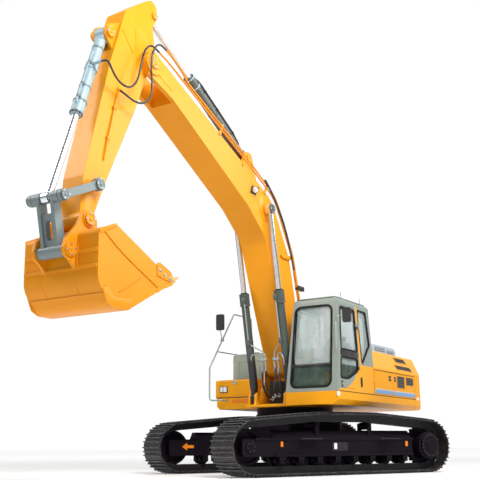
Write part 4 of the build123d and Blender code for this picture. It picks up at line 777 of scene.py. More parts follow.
cabTrim = {
    "doorMidPanel": {"plane": "side", "points": [(-1.085, 2.072), (-0.318, 2.072), (-0.318, 2.172),
        (-1.074, 2.172)], "span": (1.527, 1.5345), "curve": 0.01, "body": "cab_door"},
    "doorRearBand": {"plane": "side", "points": [(-0.32, 1.86), (-0.299, 1.86), (-0.299, 2.96),
        (-0.32, 2.96)], "span": (1.527, 1.5345), "face": "side", "body": "cab_door"},
    "handleCup": {"plane": "side", "points": boxed((-0.245, 1.545), (-0.155, 1.735)),
        "span": (1.528, 1.5335), "curve": 0.04, "finish": "darkGap"},
    "handlePull": {"plane": "side", "points": boxed((-0.218, 1.575), (-0.182, 1.705)),
        "span": (1.531, 1.5435), "curve": 0.016, "bevel": 0.004},
    "latchPlate": {"plane": "side", "points": boxed((-1.085, 1.512), (-1.015, 1.628)),
        "span": (1.528, 1.5335), "curve": 0.03, "body": "cab_door", "finish": "darkGap"},
    "latchKnob": {"plane": "side", "points": boxed((-1.066, 1.548), (-1.034, 1.596)),
        "span": (1.531, 1.5415), "curve": 0.014, "body": "cab_door", "finish": "zinc", "bevel": 0.003},
    "roofGutter": {"plane": "plan", "points": [(0.632, -1.03), (1.44, -1.03), (1.44, 0.33), (0.632, 0.33)],
        "span": (3.146, 3.1605), "curve": 0.06, "ring": 0.03, "finish": "cabEnamel"},
    "hatchFrame": {"plane": "plan", "points": [(0.722, -0.802), (1.312, -0.802), (1.312, -0.128),
        (0.722, -0.128)], "span": (3.138, 3.1605), "curve": 0.04, "ring": 0.03},
    "hatchHandle": {"plane": "plan", "points": boxed((0.96, -0.775), (1.08, -0.752)),
        "span": (3.156, 3.174), "curve": 0.008},
    "floorMatPiece": {"plane": "plan", "points": boxed((0.6, -1.1), (1.43, 0.2)), "span": (1.4915, 1.4995),
        "curve": 0.03, "finish": "floorMat"},
    "dashPanel": {"plane": "side", "points": [(-1.17, 1.5), (-1.075, 1.5), (-1.06, 1.9), (-1.125, 1.915)],
        "span": (0.555, 0.7), "finish": "greyPlastic", "bevel": 0.008},
    "monitorCase": {"plane": "front", "points": boxed((0.575, 2.06), (0.735, 2.22)),
        "span": (-1.04, -0.985), "curve": 0.014, "bevel": 0.005},
    "monitorFace": {"plane": "front", "points": boxed((0.592, 2.082), (0.718, 2.204)),
        "span": (-0.987, -0.982), "curve": 0.006, "finish": "mirrorFace"},
    "consoleTopLeft": {"plane": "plan", "points": boxed((1.252, -0.65), (1.378, 0.028)),
        "span": (2.026, 2.062), "curve": 0.025, "bevel": 0.008},
    "consoleTopRight": {"plane": "plan", "points": boxed((0.622, -0.65), (0.748, 0.028)),
        "span": (2.026, 2.062), "curve": 0.025, "bevel": 0.008},
    "armRestLeft": {"plane": "plan", "points": boxed((1.268, -0.33), (1.352, -0.02)),
        "span": (2.075, 2.118), "curve": 0.03, "finish": "floorMat", "bevel": 0.012},
    "armRestRight": {"plane": "plan", "points": boxed((0.648, -0.33), (0.732, -0.02)),
        "span": (2.075, 2.118), "curve": 0.03, "finish": "floorMat", "bevel": 0.012},
    "screenDivider": {"plane": "front", "points": [(0.588, 1.896), (1.388, 1.896), (1.388, 1.934),
        (0.588, 1.934)], "span": (-1.245, -1.236), "face": "front"},
}
cutPieces(cabTrim, body="superstructure", finish="blackPlastic")

cabBars = {
    "grabRail": {"points": [(1.49, -1.188, 2.16), (1.52, -1.232, 2.16), (1.524, -1.238, 2.2),
        (1.515, -1.215, 2.42), (1.508, -1.196, 2.62), (1.5, -1.178, 2.66), (1.48, -1.135, 2.66)],
        "radius": 0.011, "finish": "railEnamel"},
    "wiperArm": {"points": [(0.67, -1.204, 1.93), (0.666, -1.214, 1.96), (0.65, -1.178, 2.3),
        (0.648, -1.156, 2.5)], "radius": 0.006},
    "wiperBlade": {"points": [(0.632, -1.194, 2.11), (0.634, -1.186, 2.2), (0.662, -1.124, 2.76),
        (0.666, -1.114, 2.85)], "radius": 0.007, "finish": "rubber"},
    "frontAerial": {"points": [(1.362, -0.62, 3.144), (1.362, -0.62, 3.17), (1.362, -0.622, 3.22),
        (1.36, -0.626, 3.29)], "radius": 0.0045},
    "rearAerial": {"points": [(1.38, 0.18, 3.144), (1.38, 0.18, 3.17), (1.38, 0.184, 3.22),
        (1.378, 0.19, 3.28)], "radius": 0.0045},
    "monitorStalk": {"points": [(0.64, -1.1, 1.9), (0.645, -1.09, 1.98), (0.652, -1.03, 2.05),
        (0.655, -1.01, 2.1)], "radius": 0.012},
    "leverLeft": {"points": [(1.315, -0.52, 2.05), (1.315, -0.524, 2.11), (1.312, -0.545, 2.19),
        (1.31, -0.54, 2.24)], "radius": 0.013},
    "leverRight": {"points": [(0.685, -0.52, 2.05), (0.685, -0.524, 2.11), (0.688, -0.545, 2.19),
        (0.69, -0.54, 2.24)], "radius": 0.013},
    "travelLeverLeft": {"points": [(1.05, -0.9, 1.5), (1.05, -0.905, 1.62), (1.048, -0.88, 1.9),
        (1.046, -0.86, 2.04)], "radius": 0.01, "finish": "zinc"},
    "travelLeverRight": {"points": [(0.93, -0.9, 1.5), (0.93, -0.905, 1.62), (0.932, -0.88, 1.9),
        (0.934, -0.86, 2.04)], "radius": 0.01, "finish": "zinc"},
}
bendBars(cabBars, body="superstructure", finish="blackPlastic")

knob = turnedShape("knob", [(0.012, -0.02), (0.022, -0.005), (0.026, 0.02), (0.024, 0.05), (0.016, 0.068),
                            (0.006, 0.072)])
boot = turnedShape("boot", [(0.044, 0.0), (0.046, 0.01), (0.034, 0.018), (0.037, 0.03), (0.026, 0.038),
                            (0.027, 0.052), (0.016, 0.06)])
settle(copies("leverKnobs", knob, [(1.31, -0.54, 2.235), (0.69, -0.54, 2.235), (1.046, -0.86, 2.03),
                                   (0.934, -0.86, 2.03)]), "superstructure", "blackPlastic")
settle(copies("leverBoots", boot, [(1.315, -0.52, 2.058), (0.685, -0.52, 2.058), (1.05, -0.9, 1.499),
                                   (0.93, -0.9, 1.499)]), "superstructure", "rubber")
aerialFoot = turnedShape("aerialFoot", [(0.02, 0.0), (0.02, 0.01), (0.01, 0.016), (0.008, 0.045),
                                        (0.005, 0.05)])
settle(copies("aerialFeet", aerialFoot, [(1.362, -0.62, 3.15), (1.38, 0.18, 3.15)]), "superstructure",
       "blackPlastic")
wiperHub = turnedShape("wiperHub", [(0.02, 0.0), (0.02, 0.012), (0.014, 0.02), (0.006, 0.022)])
settle(stand(wiperHub, (0.67, -1.184, 1.928), (0, -1, 0.1)), "superstructure", "blackPlastic")
for template in (knob, boot, aerialFoot):
    bpy.data.objects.remove(template)
print("cab trimmed")

# ---- house: grilles, stripes, lamps, latches, tank, hood and counterweight
houseTrim = {
    "stripeFront": {"points": boxed((0.452, 1.476), (1.36, 1.548)), "span": (1.529, 1.5312),
        "body": "left_front_door", "finish": "decalBlue", "bevel": 0.0},
    "stripeFrontPale": {"points": boxed((0.452, 1.548), (1.36, 1.564)), "span": (1.529, 1.5312),
        "body": "left_front_door", "finish": "decalPaleBlue", "bevel": 0.0},
    "stripeRear": {"points": boxed((1.412, 1.476), (2.588, 1.548)), "span": (1.529, 1.5312),
        "body": "left_rear_door", "finish": "decalBlue", "bevel": 0.0},
    "stripeRearPale": {"points": boxed((1.412, 1.548), (2.588, 1.564)), "span": (1.529, 1.5312),
        "body": "left_rear_door", "finish": "decalPaleBlue", "bevel": 0.0},
    "frontReflector": {"points": boxed((-1.275, 1.352), (-1.155, 1.428)), "span": (1.5285, 1.5325),
        "curve": 0.01, "finish": "reflectorWhite"},
    "rearReflector": {"points": boxed((2.69, 1.43), (2.81, 1.486)), "span": (1.5275, 1.5325), "curve": 0.01,
        "finish": "reflectorWhite"},
    "frontDoorLatch": {"points": boxed((1.15, 1.745), (1.265, 1.848)), "span": (1.529, 1.5345),
        "curve": 0.02, "body": "left_front_door", "finish": "darkGap"},
    "frontDoorLatchBar": {"points": boxed((1.165, 1.786), (1.25, 1.808)), "span": (1.532, 1.5415),
        "curve": 0.008, "body": "left_front_door", "finish": "zinc"},
    "rearDoorLatch": {"points": boxed((1.44, 1.745), (1.52, 1.848)), "span": (1.529, 1.5345), "curve": 0.02,
        "body": "left_rear_door", "finish": "darkGap"},
    "rearDoorLatchBar": {"points": boxed((1.452, 1.786), (1.508, 1.808)), "span": (1.532, 1.5415),
        "curve": 0.008, "body": "left_rear_door", "finish": "zinc"},
    "rightDoorLatch": {"points": boxed((1.44, 1.745), (1.52, 1.848)), "span": (-1.5345, -1.529),
        "curve": 0.02, "body": "right_rear_door", "finish": "darkGap"},
    "rightDoorLatchBar": {"points": boxed((1.452, 1.786), (1.508, 1.808)), "span": (-1.5415, -1.532),
        "curve": 0.008, "body": "right_rear_door", "finish": "zinc"},
    "rightStripe": {"points": boxed((1.412, 1.476), (2.588, 1.548)), "span": (-1.5312, -1.529),
        "body": "right_rear_door", "finish": "decalBlue", "bevel": 0.0},
    "doorTopTrim": {"points": boxed((0.42, 1.921), (2.615, 1.929)), "span": (1.527, 1.5335),
        "finish": "darkGap", "bevel": 0.0},
    # cabGap: painted shade in the gap between cab and house
    "cabGap": {"points": boxed((0.376, 1.46), (0.402, 2.3)), "span": (1.43, 1.5), "finish": "darkGap",
        "bevel": 0.0},
    "sillStrip": {"points": boxed((-1.16, 1.435), (2.625, 1.4465)), "span": (1.526, 1.5335),
        "finish": "darkGap", "bevel": 0.0},
    "headlampCase": {"plane": "front", "points": boxed((-1.435, 1.54), (-1.245, 1.668)),
        "span": (-0.5185, -0.5), "curve": 0.022, "finish": "blackPlastic", "bevel": 0.004},
    "headlampLens": {"plane": "front", "points": boxed((-1.42, 1.553), (-1.26, 1.655)),
        "span": (-0.5215, -0.512), "curve": 0.016, "finish": "lampLens", "bevel": 0.003},
    "headlampBar": {"plane": "front", "points": boxed((-1.35, 1.556), (-1.338, 1.652)),
        "span": (-0.5235, -0.518), "finish": "blackPlastic", "bevel": 0.0},
    "lidLatch": {"plane": "front", "points": boxed((-1.12, 1.7), (-1.03, 1.772)), "span": (-0.5165, -0.503),
        "curve": 0.012, "body": "toolbox_lid", "finish": "zinc", "bevel": 0.003},
    "toolboxStep": {"plane": "front", "points": boxed((-1.5, 1.462), (-0.66, 1.474)),
        "span": (-0.5125, -0.504), "finish": "houseEnamel"},
    "lidTread": {"plane": "plan", "points": boxed((-1.49, -0.465), (-0.665, 0.055)),
        "span": (1.789, 1.7935), "curve": 0.03, "body": "toolbox_lid", "finish": "floorMat"},
    "tankEmbossing": {"plane": "front", "points": boxed((-1.4, 1.56), (-0.76, 2.24)),
        "span": (0.1125, 0.122), "curve": 0.05, "ring": 0.035, "finish": "tankEnamel", "bevel": 0.004},
    "tankEmbossingInner": {"plane": "front", "points": boxed((-1.3, 1.66), (-0.86, 2.14)),
        "span": (0.1145, 0.122), "curve": 0.04, "finish": "tankEnamel", "bevel": 0.004},
    "tankSideEmbossing": {"points": boxed((0.24, 1.56), (1.06, 2.24)), "span": (-1.5175, -1.508),
        "curve": 0.05, "ring": 0.035, "finish": "tankEnamel", "bevel": 0.004},
    "sightGauge": {"plane": "front", "points": boxed((-0.73, 1.7), (-0.69, 1.86)), "span": (0.106, 0.122),
        "curve": 0.012, "finish": "zinc"},
    # bootRecess and recessCheek: painted shade in the recess by the boom foot
    "bootRecess": {"plane": "front", "points": boxed((-0.11, 1.268), (0.285, 1.69)),
        "span": (-0.78, -0.745), "finish": "darkGap", "bevel": 0.004},
    "recessCheek": {"points": [(-0.95, 1.275), (-0.5, 1.275), (-0.5, 1.7), (-0.79, 1.7), (-0.95, 1.45)],
        "span": (0.468, 0.4835), "finish": "darkGap", "bevel": 0.003},
    "deckSeam": {"plane": "front", "points": boxed((-1.52, 1.434), (-0.5, 1.4465)),
        "span": (-0.5085, -0.503), "finish": "darkGap", "bevel": 0.0},
    "toolboxCorner": {"plane": "front", "points": boxed((-1.15, 1.33), (-0.72, 1.405)),
        "span": (-0.5085, -0.503), "curve": 0.01, "finish": "decalOrange", "bevel": 0.001},
}
cutPieces(houseTrim, plane="side", body="superstructure")

slatFrame = {"depth": 0.01, "corner": 0.018, "rim": 0.016, "inset": 0.008}


def louvres(name, low, high, count):
    # a pressed panel of slats: frame ring, a near-black ground that is painted shade behind the blades, and
    # sloping blades, standing off the face by a little
    rim, inset = slatFrame["rim"], slatFrame["inset"]
    frameRing = cutShape(name + "Frame", "side", boxed(low, high), 0.0, slatFrame["depth"],
                         slatFrame["corner"], rim)
    ground = cutShape(name + "Ground", "side", boxed((low[0] + inset, low[1] + inset),
                                                    (high[0] - inset, high[1] - inset)), -0.002, 0.0015)
    step = (high[1] - low[1] - 2 * rim) / count
    blades = []
    for number in range(count):
        z = low[1] + rim + step * (number + 0.5)
        blade = cutShape("blade", "front", [(0.0015, z - step * 0.36), (0.0085, z - step * 0.46),
                                            (0.0085, z - step * 0.3), (0.0015, z + step * 0.12)],
                         low[0] + 0.014, high[0] - 0.014)
        blades.append(blade)
    return frameRing, ground, together(name + "Blades", blades)


# each grille: lowest and highest corner (y, z) on the face, blades, body and how the face lies
grilles = {
    "rearDoorGrilleFront": {"low": (1.56, 1.62), "high": (2.0, 1.888), "blades": 7,
        "body": "left_rear_door"},
    "rearDoorGrilleRear": {"low": (2.07, 1.7), "high": (2.52, 1.888), "blades": 5,
        "body": "left_rear_door"},
    "bandGrilleUpper": {"low": (1.96, 0.262), "high": (2.61, 0.42), "blades": 4, "body": "superstructure",
        "band": True},
    "bandGrilleLower": {"low": (1.7, 0.05), "high": (2.61, 0.2), "blades": 4, "body": "superstructure",
        "band": True},
    "rightDoorGrilleFront": {"low": (1.6, 1.6), "high": (2.05, 1.88), "blades": 7,
        "body": "right_rear_door", "right": True},
    "rightDoorGrilleRear": {"low": (2.11, 1.6), "high": (2.54, 1.88), "blades": 7,
        "body": "right_rear_door", "right": True},
}
doorFace = 1.53
bandLow, bandHigh = Vector((doorFace, 0, 1.96)), Vector((1.25, 0, 2.36))
bandWay = (bandHigh - bandLow).normalized()
bandOut = Vector((bandWay.z, 0, -bandWay.x))
for name, s in grilles.items():
    made = louvres(name, s["low"], s["high"], s["blades"])
    for piece, finish in zip(made, ("houseEnamel", "darkGap", "greyPlastic")):
        for vertex in piece.data.vertices:
            if s.get("band"):
                spot = bandLow + bandWay * vertex.co.z + bandOut * vertex.co.x
                vertex.co = (spot.x, vertex.co.y, spot.z)
            elif s.get("right"):
                vertex.co.x = -doorFace - vertex.co.x
            else:
                vertex.co.x += doorFace
        if s.get("right"):
            piece.data.flip_normals()
        settle(piece, s["body"], finish, 0.0012 if finish == "houseEnamel" else 0.0)

# hood: side vents, a raised rib and a mesh with slats; the near-black plates behind the vents and the mesh
# are painted shade
hoodTrim = {
    "hoodVentFront": {"points": boxed((1.4, 2.408), (1.94, 2.488)), "span": (1.1485, 1.1525), "curve": 0.02,
        "bevel": 0.001},
    "hoodVentRear": {"points": boxed((2.06, 2.402), (2.44, 2.462)), "span": (1.1485, 1.1525), "curve": 0.02,
        "bevel": 0.001},
    "hoodVentRightFront": {"points": boxed((1.4, 2.408), (1.94, 2.488)), "span": (-0.6025, -0.5985),
        "curve": 0.02, "bevel": 0.001},
    "hoodRib": {"plane": "plan", "points": boxed((-0.42, 1.42), (0.97, 2.38)), "span": (2.5285, 2.5365),
        "curve": 0.08, "ring": 0.05, "finish": "hoodEnamel", "bevel": 0.004},
    "hoodMesh": {"plane": "plan", "points": boxed((-0.32, 1.52), (0.3, 2.28)), "span": (2.529, 2.5335),
        "curve": 0.04, "bevel": 0.001},
}
cutPieces(hoodTrim, plane="side", body="engine_hood", finish="darkGap")
slatPlaces = [1.545 + 0.045 * number for number in range(16)]
slats = [cutShape("slat", "plan", boxed((-0.3, y), (0.28, y + 0.023)), 2.5325, 2.5395) for y in slatPlaces]
settle(together("hoodSlats", slats), "engine_hood", "hoodEnamel", 0.002)
ventPlaces = [(1.42 + 0.052 * number, 2.414, 2.482) for number in range(10)]
ventPlaces += [(2.08 + 0.052 * number, 2.408, 2.456) for number in range(7)]
ventBars = [cutShape("ventBar", "side", boxed((y, low), (y + 0.025, high)), 1.15, 1.1565)
            for y, low, high in ventPlaces]
settle(together("hoodVentBars", ventBars), "engine_hood", "hoodEnamel", 0.001)

houseBars = {
    "hoodHandle": {"points": [(0.2, 2.468, 2.515), (0.2, 2.5, 2.54), (0.26, 2.502, 2.545),
        (0.4, 2.502, 2.545), (0.46, 2.5, 2.54), (0.46, 2.468, 2.515)], "radius": 0.009,
        "body": "engine_hood", "finish": "railEnamel"},
    "deckPipe": {"points": [(-0.36, -0.98, 1.3), (-0.36, -0.99, 1.4), (-0.42, -0.94, 1.43),
        (-0.52, -0.7, 1.44), (-0.56, -0.45, 1.44)], "radius": 0.014, "body": "superstructure",
        "finish": "hoseRubber"},
}
bendBars(houseBars)

caps = {
    "tankCap": {"profile": [(0.075, 0.0), (0.075, 0.012), (0.06, 0.016), (0.06, 0.045), (0.052, 0.055),
        (0.02, 0.058)], "places": [(-1.1, 0.42, 2.358), (-0.95, 0.92, 2.358)], "finish": "blackPlastic"},
    "exhaustCollar": {"profile": [(0.115, 0.0), (0.115, 0.01), (0.08, 0.022), (0.07, 0.024), (0.07, 0.052),
        (0.064, 0.054)], "places": [(-0.9, 1.8, 2.358)], "finish": "ironCast"},
    "airCleanerCap": {"profile": [(0.06, 0.0), (0.06, 0.06), (0.105, 0.07), (0.12, 0.1), (0.105, 0.135),
        (0.05, 0.15)], "places": [(-0.9, 2.35, 2.358)], "finish": "blackPlastic"},
    "liftingEyePad": {"profile": [(0.06, 0.0), (0.06, 0.008), (0.05, 0.011)],
        "places": [(0.9, 2.95, 2.358)], "finish": "houseEnamel"},
}
for name, s in caps.items():
    template = turnedShape(name, s["profile"], 28)
    settle(copies(name + "Set", template, s["places"]), "superstructure", s["finish"])
    bpy.data.objects.remove(template)
print("house trimmed")

# ---- working arm: pin caps, bolts, pipes, clamps, weld beads and wear parts; pins as (y, z)
pins = {"boomCylinderFoot": (-0.866, 1.384), "boomCylinderEye": (-1.541, 4.853),
        "armCylinderFoot": (-1.874, 5.821), "armPin": (-5.031, 6.424), "armCylinderEye": (-4.826, 7.404),
        "bucketCylinderFoot": (-5.915, 6.62), "leverPin": (-6.182, 4.089), "linkPin": (-6.861, 3.76),
        "bucketPin": (-6.372, 3.535), "bucketLinkPin": (-6.698, 3.051)}
# the cylinders: the pins that they run between, their places across the machine and the body of the tube
tubes = {
    "boom": {"pins": ("boomCylinderFoot", "boomCylinderEye"), "across": (0.385, -0.385),
        "body": "boom_cylinder_tubes"},
    "arm": {"pins": ("armCylinderFoot", "armCylinderEye"), "across": (0.0,), "body": "arm_cylinder_tube"},
    "bucket": {"pins": ("bucketCylinderFoot", "linkPin"), "across": (0.0,), "body": "bucket_cylinder_tube"},
}


def beside(tube, far, lift, x):
    # a point far along a cylinder from its foot pin, lifted square to it
    foot, eye = (pins[pin] for pin in tubes[tube]["pins"])
    y, z = (eye[i] - foot[i] for i in (0, 1))
    size = math.hypot(y, z)
    y, z = y / size, z / size
    return (x, foot[0] + y * far - z * lift, foot[1] + z * far + y * lift)


def wayOf(tube):
    return (Vector(beside(tube, 1.0, 0.0, 0.0)) - Vector(beside(tube, 0.0, 0.0, 0.0))).normalized()


def boltRing(centre, axis, radius, count):
    # places on a circle round an axis
    turn = Vector(axis).to_track_quat("Z", "Y").to_matrix()
    return [Vector(centre) + turn @ Vector((radius * math.cos(2 * math.pi * k / count + 0.2),
                                            radius * math.sin(2 * math.pi * k / count + 0.2), 0.0))
            for k in range(count)]


pinCap = turnedShape("pinCap", [(0.1, -0.004), (0.1, 0.008), (0.094, 0.014), (0.066, 0.014), (0.06, 0.009),
                                (0.034, 0.009), (0.031, 0.018), (0.01, 0.019)], 32)
sides = {1: "Left", -1: "Right"}
pinEnds = {
    "boomCylinderEye": {"x": 0.444, "scale": 0.92, "body": "boom_cylinder_rods", "finish": "armTubeEnamel",
        "bolts": 4},
    "boomCylinderFoot": {"x": 0.474, "scale": 0.78, "body": "superstructure", "finish": "houseEnamel",
        "bolts": 3},
    "armPin": {"x": 0.323, "scale": 0.95, "body": "boom", "finish": "boomEnamel", "bolts": 6},
    "armCylinderFoot": {"x": 0.148, "scale": 0.72, "body": "boom", "finish": "boomEnamel", "bolts": 3},
    "armCylinderEye": {"x": 0.138, "scale": 0.6, "body": "arm", "finish": "boomEnamel", "bolts": 3},
    "bucketCylinderFoot": {"x": 0.17, "scale": 0.82, "body": "arm", "finish": "boomEnamel", "bolts": 4},
    "leverPin": {"x": 0.323, "scale": 0.86, "body": "arm", "finish": "leverEnamel", "bolts": 4},
    "linkPin": {"x": 0.328, "scale": 0.76, "body": "bucket_levers", "finish": "leverEnamel", "bolts": 3},
    "bucketPin": {"x": 0.333, "scale": 0.95, "body": "arm", "finish": "boomEnamel", "bolts": 4},
    "bucketLinkPin": {"x": 0.32, "scale": 0.86, "body": "bucket", "finish": "bucketEnamel", "bolts": 4},
}
for pin, s in pinEnds.items():
    for side, word in sides.items():
        settle(copies(pin + "Cap" + word, pinCap, [(side * s["x"], *pins[pin])], (side, 0, 0), s["scale"]),
               s["body"], s["finish"])
        face = (side * (s["x"] + 0.013 * s["scale"]), *pins[pin])
        bolts = boltRing(face, (side, 0, 0), 0.08 * s["scale"], s["bolts"])
        settle(copies(pin + "CapBolts" + word, hexBolt, bolts, (side, 0, 0), 0.9), s["body"], "zinc")

# bands round the cylinders: place along the tube, radius, width, and the bore where it fits a rod
bands = {
    "boomHeadBandLow": {"tube": "boom", "far": 1.755, "radius": 0.104, "width": 0.022,
        "finish": "armTubeEnamel"},
    "boomHeadBandHigh": {"tube": "boom", "far": 1.965, "radius": 0.101, "width": 0.02,
        "finish": "armTubeEnamel"},
    "boomWiper": {"tube": "boom", "far": 1.998, "radius": 0.066, "width": 0.018, "finish": "rubber",
        "bore": 0.053},
    "boomTubeBand": {"tube": "boom", "far": 1.06, "radius": 0.082, "width": 0.034,
        "finish": "armTubeEnamel"},
    "armHeadBandLow": {"tube": "arm", "far": 1.822, "radius": 0.11, "width": 0.026,
        "finish": "bucketTubeEnamel"},
    "armHeadBandHigh": {"tube": "arm", "far": 2.024, "radius": 0.106, "width": 0.028,
        "finish": "bucketTubeEnamel"},
    "armTubeBandLow": {"tube": "arm", "far": 0.42, "radius": 0.093, "width": 0.036,
        "finish": "armTubeEnamel"},
    "armTubeBandHigh": {"tube": "arm", "far": 1.16, "radius": 0.093, "width": 0.036,
        "finish": "armTubeEnamel"},
    "bucketHeadBandLow": {"tube": "bucket", "far": 1.33, "radius": 0.104, "width": 0.026,
        "finish": "leverEnamel"},
    "bucketHeadBandHigh": {"tube": "bucket", "far": 1.54, "radius": 0.101, "width": 0.026,
        "finish": "leverEnamel"},
    "bucketTubeBandLow": {"tube": "bucket", "far": 0.3, "radius": 0.09, "width": 0.04,
        "finish": "leverEnamel"},
    "bucketTubeBandMid": {"tube": "bucket", "far": 1.06, "radius": 0.09, "width": 0.03,
        "finish": "leverEnamel"},
}
for name, s in bands.items():
    r, w = s["radius"], s["width"]
    inner = s.get("bore", r - 0.01)
    tube = tubes[s["tube"]]
    band = turnedShape(name, [(inner, 0.0), (r - 0.002, 0.0), (r, 0.003), (r, w - 0.003), (r - 0.002, w),
                              (inner, w)], 36, through=True)
    places = [beside(s["tube"], s["far"], 0.0, x) for x in tube["across"]]
    settle(copies(name + "Set", band, places, wayOf(s["tube"])), tube["body"], s["finish"])
    bpy.data.objects.remove(band)

headBolts = {"boom": {"far": 1.985, "radius": 0.085}, "arm": {"far": 2.052, "radius": 0.088},
             "bucket": {"far": 1.566, "radius": 0.084}}
for tube, s in headBolts.items():
    places = [spot for x in tubes[tube]["across"]
              for spot in boltRing(beside(tube, s["far"], 0.0, x), wayOf(tube), s["radius"], 10)]
    settle(copies(tube + "HeadBolts", hexBolt, places, wayOf(tube), 0.85), tubes[tube]["body"],
           "chassisSteel")

# pipes, a hose, a weld bead and bars, each through its own points
boomLines = {
    "boomLineLeft": {"points": [beside("boom", far, 0.092, 0.345) for far in (1.9, 1.84, 1.6, 1.3, 1.08)]
        + [(0.33, -1.15, 2.42), (0.3, -1.12, 2.372), (0.219, -1.06, 2.292), (0.158, -1.05, 2.225),
        (0.149, -1.05, 2.15), (0.147, -1.05, 1.99), (0.16, -1.05, 1.93)]},
    "boomLineLeftLow": {"points": [(0.362, -1.05, 1.96), (0.38, -1.098, 2.03), (0.374, -1.1, 2.1),
        (0.33, -1.085, 2.165), (0.264, -1.06, 2.196), (0.23, -1.05, 2.16), (0.224, -1.05, 2.097),
        (0.24, -1.05, 1.87)]},
    "boomLineRight": {"points": [beside("boom", far, 0.092, -0.345) for far in (1.9, 1.84, 1.6, 1.3, 1.12)]
        + [(-0.352, -1.14, 2.41), (-0.3, -1.1, 2.345), (-0.216, -1.06, 2.3), (-0.11, -1.05, 2.24),
        (-0.05, -1.05, 2.17), (-0.042, -1.05, 2.095), (-0.038, -1.05, 1.92)]},
    "boomLineRightLow": {"points": [(-0.345, -1.07, 2.085), (-0.335, -1.098, 2.142), (-0.29, -1.08, 2.19),
        (-0.182, -1.055, 2.2), (-0.135, -1.05, 2.16), (-0.122, -1.05, 2.08), (-0.119, -1.05, 1.88)]},
}
bendBars(boomLines, radius=0.013, body="boom_cylinder_tubes", finish="railEnamel")

armPipes = {
    "armLineTop": {"points": [beside("arm", 1.935, -0.088, 0.045)] + [beside("arm", far, -0.112, 0.048)
        for far in (1.9, 1.7, 1.0, 0.45, 0.34)] + [beside("arm", 0.3, -0.08, 0.048)], "radius": 0.014,
        "body": "arm_cylinder_tube", "finish": "armTubeEnamel"},
    "armLineSide": {"points": [beside("arm", 1.935, -0.06, 0.075)] + [beside("arm", far, -0.085, 0.09)
        for far in (1.88, 1.6, 1.0, 0.5)] + [beside("arm", 0.44, -0.05, 0.08)], "radius": 0.012,
        "body": "arm_cylinder_tube", "finish": "hoseRubber"},
    "bucketLineFront": {"points": [beside("bucket", 1.43, -0.08, 0.04)]
        + [beside("bucket", far, -0.106, 0.042) for far in (1.39, 1.25, 1.0, 0.62, 0.48)]
        + [beside("bucket", 0.44, -0.075, 0.042)], "radius": 0.013, "body": "bucket_cylinder_tube",
        "finish": "bucketTubeEnamel"},
    "bendHose": {"points": [(0.334, -1.615, 5.421), (0.334, -1.39, 5.262), (0.334, -1.164, 5.036),
        (0.334, -0.93, 4.745), (0.334, -0.747, 4.424), (0.332, -0.625, 4.12), (0.33, -0.525, 3.86)],
        "radius": 0.019, "body": "boom", "finish": "hoseRubber"},
    "bendPipe": {"points": [(0.33, -0.528, 3.866), (0.328, -0.45, 3.69), (0.324, -0.302, 3.294),
        (0.312, -0.24, 3.1), (0.298, -0.205, 2.94)], "radius": 0.014, "body": "boom",
        "finish": "pipeEnamel"},
    "armWeldLeft": {"points": [(0.191, -5.696, 6.752), (0.191, -5.62, 6.675), (0.191, -5.5, 6.548),
        (0.191, -5.419, 6.466)], "radius": 0.007, "body": "arm", "finish": "boomEnamel"},
}
bendBars(armPipes)

bucketBars = {
    "bucketSideBar": {"points": [(0.684, -6.493, 3.311), (0.684, -6.34, 3.215), (0.684, -6.202, 3.125),
        (0.684, -5.879, 2.964), (0.684, -5.312, 2.719)], "radius": 0.01},
    "bucketHeelBar": {"points": [(-0.668, -6.446, 2.466), (-0.2, -6.446, 2.466), (0.2, -6.446, 2.466),
        (0.668, -6.446, 2.466)], "radius": 0.013},
    "bucketSeamRight": {"points": [(-0.33, -6.572, 2.99), (-0.33, -6.568, 2.74), (-0.33, -6.546, 2.62),
        (-0.33, -6.499, 2.535), (-0.33, -6.446, 2.466)], "radius": 0.008},
    "bucketSeamLeft": {"points": [(0.27, -6.572, 2.99), (0.27, -6.568, 2.74), (0.27, -6.546, 2.62),
        (0.27, -6.499, 2.535), (0.27, -6.446, 2.466)], "radius": 0.008},
    "bucketSideWeld": {"points": [(0.683, -6.132, 2.52), (0.683, -5.98, 2.605), (0.683, -5.82, 2.7),
        (0.683, -5.676, 2.788)], "radius": 0.007},
}
bendBars(bucketBars, body="bucket", finish="bucketEnamel")

footHoses = {
    "footHoseLeft": {"length": 0.66, "points": [
        (0.16, -1.05, 1.925), (0.171, -1.05, 1.88), (0.178, -1.055, 1.767), (0.15, -1.05, 1.64),
        (0.115, -1.01, 1.53), (0.092, -0.92, 1.455), (0.09, -0.78, 1.43)]},
    "footHoseLeftLow": {"length": 0.55, "points": [
        (0.24, -1.05, 1.865), (0.246, -1.05, 1.82), (0.258, -1.05, 1.744), (0.245, -1.02, 1.62),
        (0.232, -0.95, 1.52), (0.225, -0.86, 1.47), (0.222, -0.78, 1.455)]},
    "footHoseRight": {"length": 0.65, "points": [
        (-0.038, -1.05, 1.915), (-0.036, -1.05, 1.87), (-0.03, -1.055, 1.777), (-0.036, -1.05, 1.64),
        (-0.03, -1.005, 1.52), (-0.012, -0.92, 1.445), (0.0, -0.78, 1.42)]},
    "footHoseRightLow": {"length": 0.66, "points": [
        (-0.119, -1.05, 1.885), (-0.115, -1.05, 1.845), (-0.106, -1.055, 1.76), (-0.112, -1.05, 1.63),
        (-0.1, -1.0, 1.5), (-0.07, -0.9, 1.4), (-0.05, -0.78, 1.37)]},
}
footHoseRadius = 0.0195
ferrule = turnedShape("ferrule", [(0.015, -0.06), (0.023, -0.058), (0.0235, -0.004), (0.019, 0.0),
                                  (0.019, 0.01), (0.026, 0.012), (0.026, 0.036), (0.018, 0.038),
                                  (0.017, 0.056), (0.014, 0.058)], 6)
elbow = turnedShape("elbow", [(0.04, 0.0), (0.04, 0.01), (0.026, 0.013), (0.026, 0.045), (0.022, 0.05)], 6)
